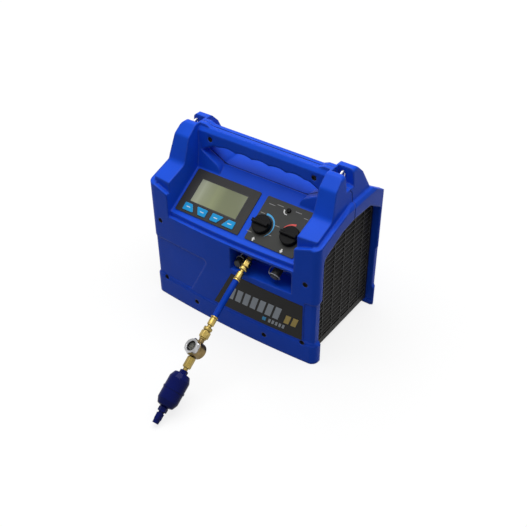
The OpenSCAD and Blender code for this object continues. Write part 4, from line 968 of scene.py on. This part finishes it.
def build_valves(tint):
    """Valve panel with its printed marks, the two knobs and the push button."""
    dress(moulded("panel_film", tint.panel, rough=0.42, grain=1400, depth=0.00003, edge=0.0006, wear=0.03,
                  mottle=0.06, specular=0.13), "valve_panel")
    dress(moulded("knob_black", tint.knob, rough=0.26, grain=1200, depth=0.00003, wear=0.06, mottle=0.1,
                  specular=0.06), "inlet_knob", "outlet_knob", "push_button")
    white = printed("panel_white", INK_WHITE)
    grey = printed("panel_grey_print", INK_GREY)
    blue = printed("arc_blue", tint.open_blue)
    red = printed("arc_red", tint.shut_red)
    arc_mark("inlet_arc", blue, INLET_KNOB, r=24.0, halves=(2.1, 0.3), start=98, end=-50)
    arc_mark("outlet_arc", red, OUTLET_KNOB, r=24.8, halves=(2.0, 0.5), start=92, end=152)
    arc_mark("button_crescent", white, PUSH_BUTTON, r=7.0, halves=(1.5, 0.5), start=170, end=290)
    arrow = np.array([(-1.6, -4), (1.6, -4), (1.6, 0), (3.8, 0), (0, 4.6), (-3.8, 0), (-1.6, 0)])
    for name, middle, way in (("arrow_in", (46, 11), 1), ("arrow_out", (111, 11), -1)):
        outline = np.column_stack([middle + arrow * way, np.full(len(arrow), PANEL_LEVEL)])
        piece(name, [put(DECK, plate(outline, (0, 0, 1), INK_T))], white)
    # Middle and half length of each tick
    ticks = [(36, 66, 5), (78, 52, 5), (30, 22, 6), (72, 30, 5), (136, 58, 4), (45, 88, 7), (62, 92, 7),
             (104, 92, 7), (124, 86, 5)]
    grids = [bar(u, v, half, half_width=0.55, level=PANEL_LEVEL, thick=TICK_T, points=5)
             for u, v, half in ticks]
    piece("panel_ticks", grids, grey)


# Front
def build_ports(tint):
    """Flare ports, dust caps and their tethers."""
    brass = metal("port_brass", shade(tint.brass, 0.9), 0.3, streak=(1, 1, 5), tarnish=0.3)
    dress(brass, "inlet_port", "outlet_port")
    dress(moulded("cap_black", CAP_BLACK, rough=0.4, grain=1000, depth=0.00004, edge=0.0006, wear=0.06,
                  mottle=0.1, specular=0.3), "inlet_cap", "outlet_cap")
    dress(rubber("tether_rubber", TETHER_GREY, 0.5), "inlet_tether", "outlet_tether")


def build_label(tint):
    """Bare plate on the front with rows of plain slanted bars."""
    dark = moulded("label_film", tint.label, rough=0.4, grain=1500, depth=0.00003, edge=0.0005, wear=0.02,
                   mottle=0.05, specular=0.12)
    piece("front_plate", [film(PLATE, GAP, PLATE_T)], dark)

    def bars(name, places, look):
        piece(name, [film(slanted(*place), GAP + PLATE_T, INK_T) for place in places], look)

    # Each bar: x, z, width, height and lean
    tall = [(x, 81, 13, 32, 10) for x in range(-2, 108, 18)]
    small = [(x, 64, 5, 10, 3) for x in range(96, 134, 8)]
    bars("front_bars", tall + small, printed("stripe_grey", tint.stripe))
    bars("front_dot", [(82, 64, 8, 10, 3)], printed("stripe_blue", tint.open_blue))
    bars("front_accent", [(x, 80, 11, 22, 7) for x in (132, 148)], printed("stripe_gold", tint.accent))


# Inside
def build_inside():
    """Finishes of the pieces inside and at the rear, and a dark sheet over the coil, an arched plate of
    painted shade.
    """
    steel = metal("bracket_steel", STEEL, 0.38, streak=(1, 4, 1), tarnish=0.2)
    alloy = metal("cast_alloy", ALLOY, 0.42, tarnish=0.2, edge=0.001, scale=120)
    copper = metal("copper_tube", COPPER, 0.28, streak=(1, 1, 5), tarnish=0.35)
    dark = dulled("motor_black", MOTOR_BLACK, 0.45)
    brass = metal("block_brass", BLOCK_BRASS, 0.32, streak=(1, 1, 3), tarnish=0.3)
    dress(steel, "compressor_bracket", "fan_shroud", "fan_bracket", "inlet_stem", "outlet_stem")
    dress(alloy, "compressor_crankcase", "cylinder_head")
    dress(copper, "condenser_coil", "suction_line", "discharge_line", "return_line")
    dress(dark, "drive_motor", "fan_motor", "fan_rotor", "button_switch")
    dress(brass, "valve_block", "pressure_sensors")
    dress(rubber("mount_rubber", MOUNT_BLACK, 0.7), "rubber_mounts")
    dress(board("control_board", BOARD_GREEN), "control_board")
    dress(moulded("inlet_black", SOCKET_BLACK, depth=0.00005, edge=0.0008, wear=0.08), "power_inlet")
    # Painted shade: a dark sheet above the coil, behind the louvres, where the case is dark inside
    sheet_x, sheet_t = 177.0, 0.8
    sheet = [(-97, 208.02), (97, 208.02), (103, 242), (61, 277), (-9, 281), (-54, 274), (-100, 249)]
    outline = [(sheet_x, y, z) for y, z in sheet]
    piece("coil_shade_sheet", [plate(outline, (1, 0, 0), sheet_t)], dark)


# Operators, panel and registration
class RECOVERY_OT_stage(bpy.types.Operator):
    """Set the camera, floor, lamp and surroundings"""
    bl_idname = "recovery.stage"
    bl_label = "Stage"

    def execute(self, context):
        build_stage(context.scene.recovery_stage)
        return {"FINISHED"}


class RECOVERY_OT_hose(bpy.types.Operator):
    """Make the charging hose with its nuts, sight glass and filter drier"""
    bl_idname = "recovery.hose"
    bl_label = "Hose and filter"

    def execute(self, context):
        build_hose(context.scene.recovery_fittings, context.scene.recovery_finish)
        return {"FINISHED"}


class RECOVERY_OT_case(bpy.types.Operator):
    """Finish the shells, grilles, tray, strap eyes and screws"""
    bl_idname = "recovery.case"
    bl_label = "Case"

    def execute(self, context):
        build_case(context.scene.recovery_finish)
        return {"FINISHED"}


class RECOVERY_OT_display(bpy.types.Operator):
    """Finish the display and its keys"""
    bl_idname = "recovery.display"
    bl_label = "Display and keys"

    def execute(self, context):
        build_display(context.scene.recovery_finish)
        return {"FINISHED"}


class RECOVERY_OT_valves(bpy.types.Operator):
    """Finish the valve panel, knobs and push button"""
    bl_idname = "recovery.valves"
    bl_label = "Valve panel"

    def execute(self, context):
        build_valves(context.scene.recovery_finish)
        return {"FINISHED"}


class RECOVERY_OT_ports(bpy.types.Operator):
    """Finish the ports, dust caps and tethers"""
    bl_idname = "recovery.ports"
    bl_label = "Ports and caps"

    def execute(self, context):
        build_ports(context.scene.recovery_finish)
        return {"FINISHED"}


class RECOVERY_OT_label(bpy.types.Operator):
    """Lay the bare plate and its bars on the front"""
    bl_idname = "recovery.label"
    bl_label = "Front plate"

    def execute(self, context):
        build_label(context.scene.recovery_finish)
        return {"FINISHED"}


class RECOVERY_OT_inside(bpy.types.Operator):
    """Finish the pieces inside the case"""
    bl_idname = "recovery.inside"
    bl_label = "Machinery"

    def execute(self, context):
        build_inside()
        return {"FINISHED"}


OPERATORS = (
    RECOVERY_OT_stage, RECOVERY_OT_hose, RECOVERY_OT_case, RECOVERY_OT_display, RECOVERY_OT_valves,
    RECOVERY_OT_ports, RECOVERY_OT_label, RECOVERY_OT_inside,
)


class RECOVERY_PT_panel(bpy.types.Panel):
    """Lists the makers of the machine's pieces"""
    bl_idname = "RECOVERY_PT_panel"
    bl_label = "Recovery machine"
    bl_space_type = "VIEW_3D"
    bl_region_type = "UI"
    bl_category = "Recovery machine"

    def draw(self, context):
        for operator in OPERATORS:
            self.layout.operator(operator.bl_idname)


CLASSES = (StageSettings, FinishSettings, FittingSettings, *OPERATORS, RECOVERY_PT_panel)


def register():
    for each in CLASSES:
        bpy.utils.register_class(each)
    bpy.types.Scene.recovery_stage = PointerProperty(type=StageSettings)
    bpy.types.Scene.recovery_finish = PointerProperty(type=FinishSettings)
    bpy.types.Scene.recovery_fittings = PointerProperty(type=FittingSettings)


def unregister():
    del bpy.types.Scene.recovery_fittings
    del bpy.types.Scene.recovery_finish
    del bpy.types.Scene.recovery_stage
    for each in reversed(CLASSES):
        bpy.utils.unregister_class(each)


def main():
    register()
    bpy.ops.recovery.stage()
    bpy.ops.recovery.hose()
    bpy.ops.recovery.case()
    bpy.ops.recovery.display()
    bpy.ops.recovery.valves()
    bpy.ops.recovery.ports()
    bpy.ops.recovery.label()
    bpy.ops.recovery.inside()


if __name__ == "__main__":
    main()
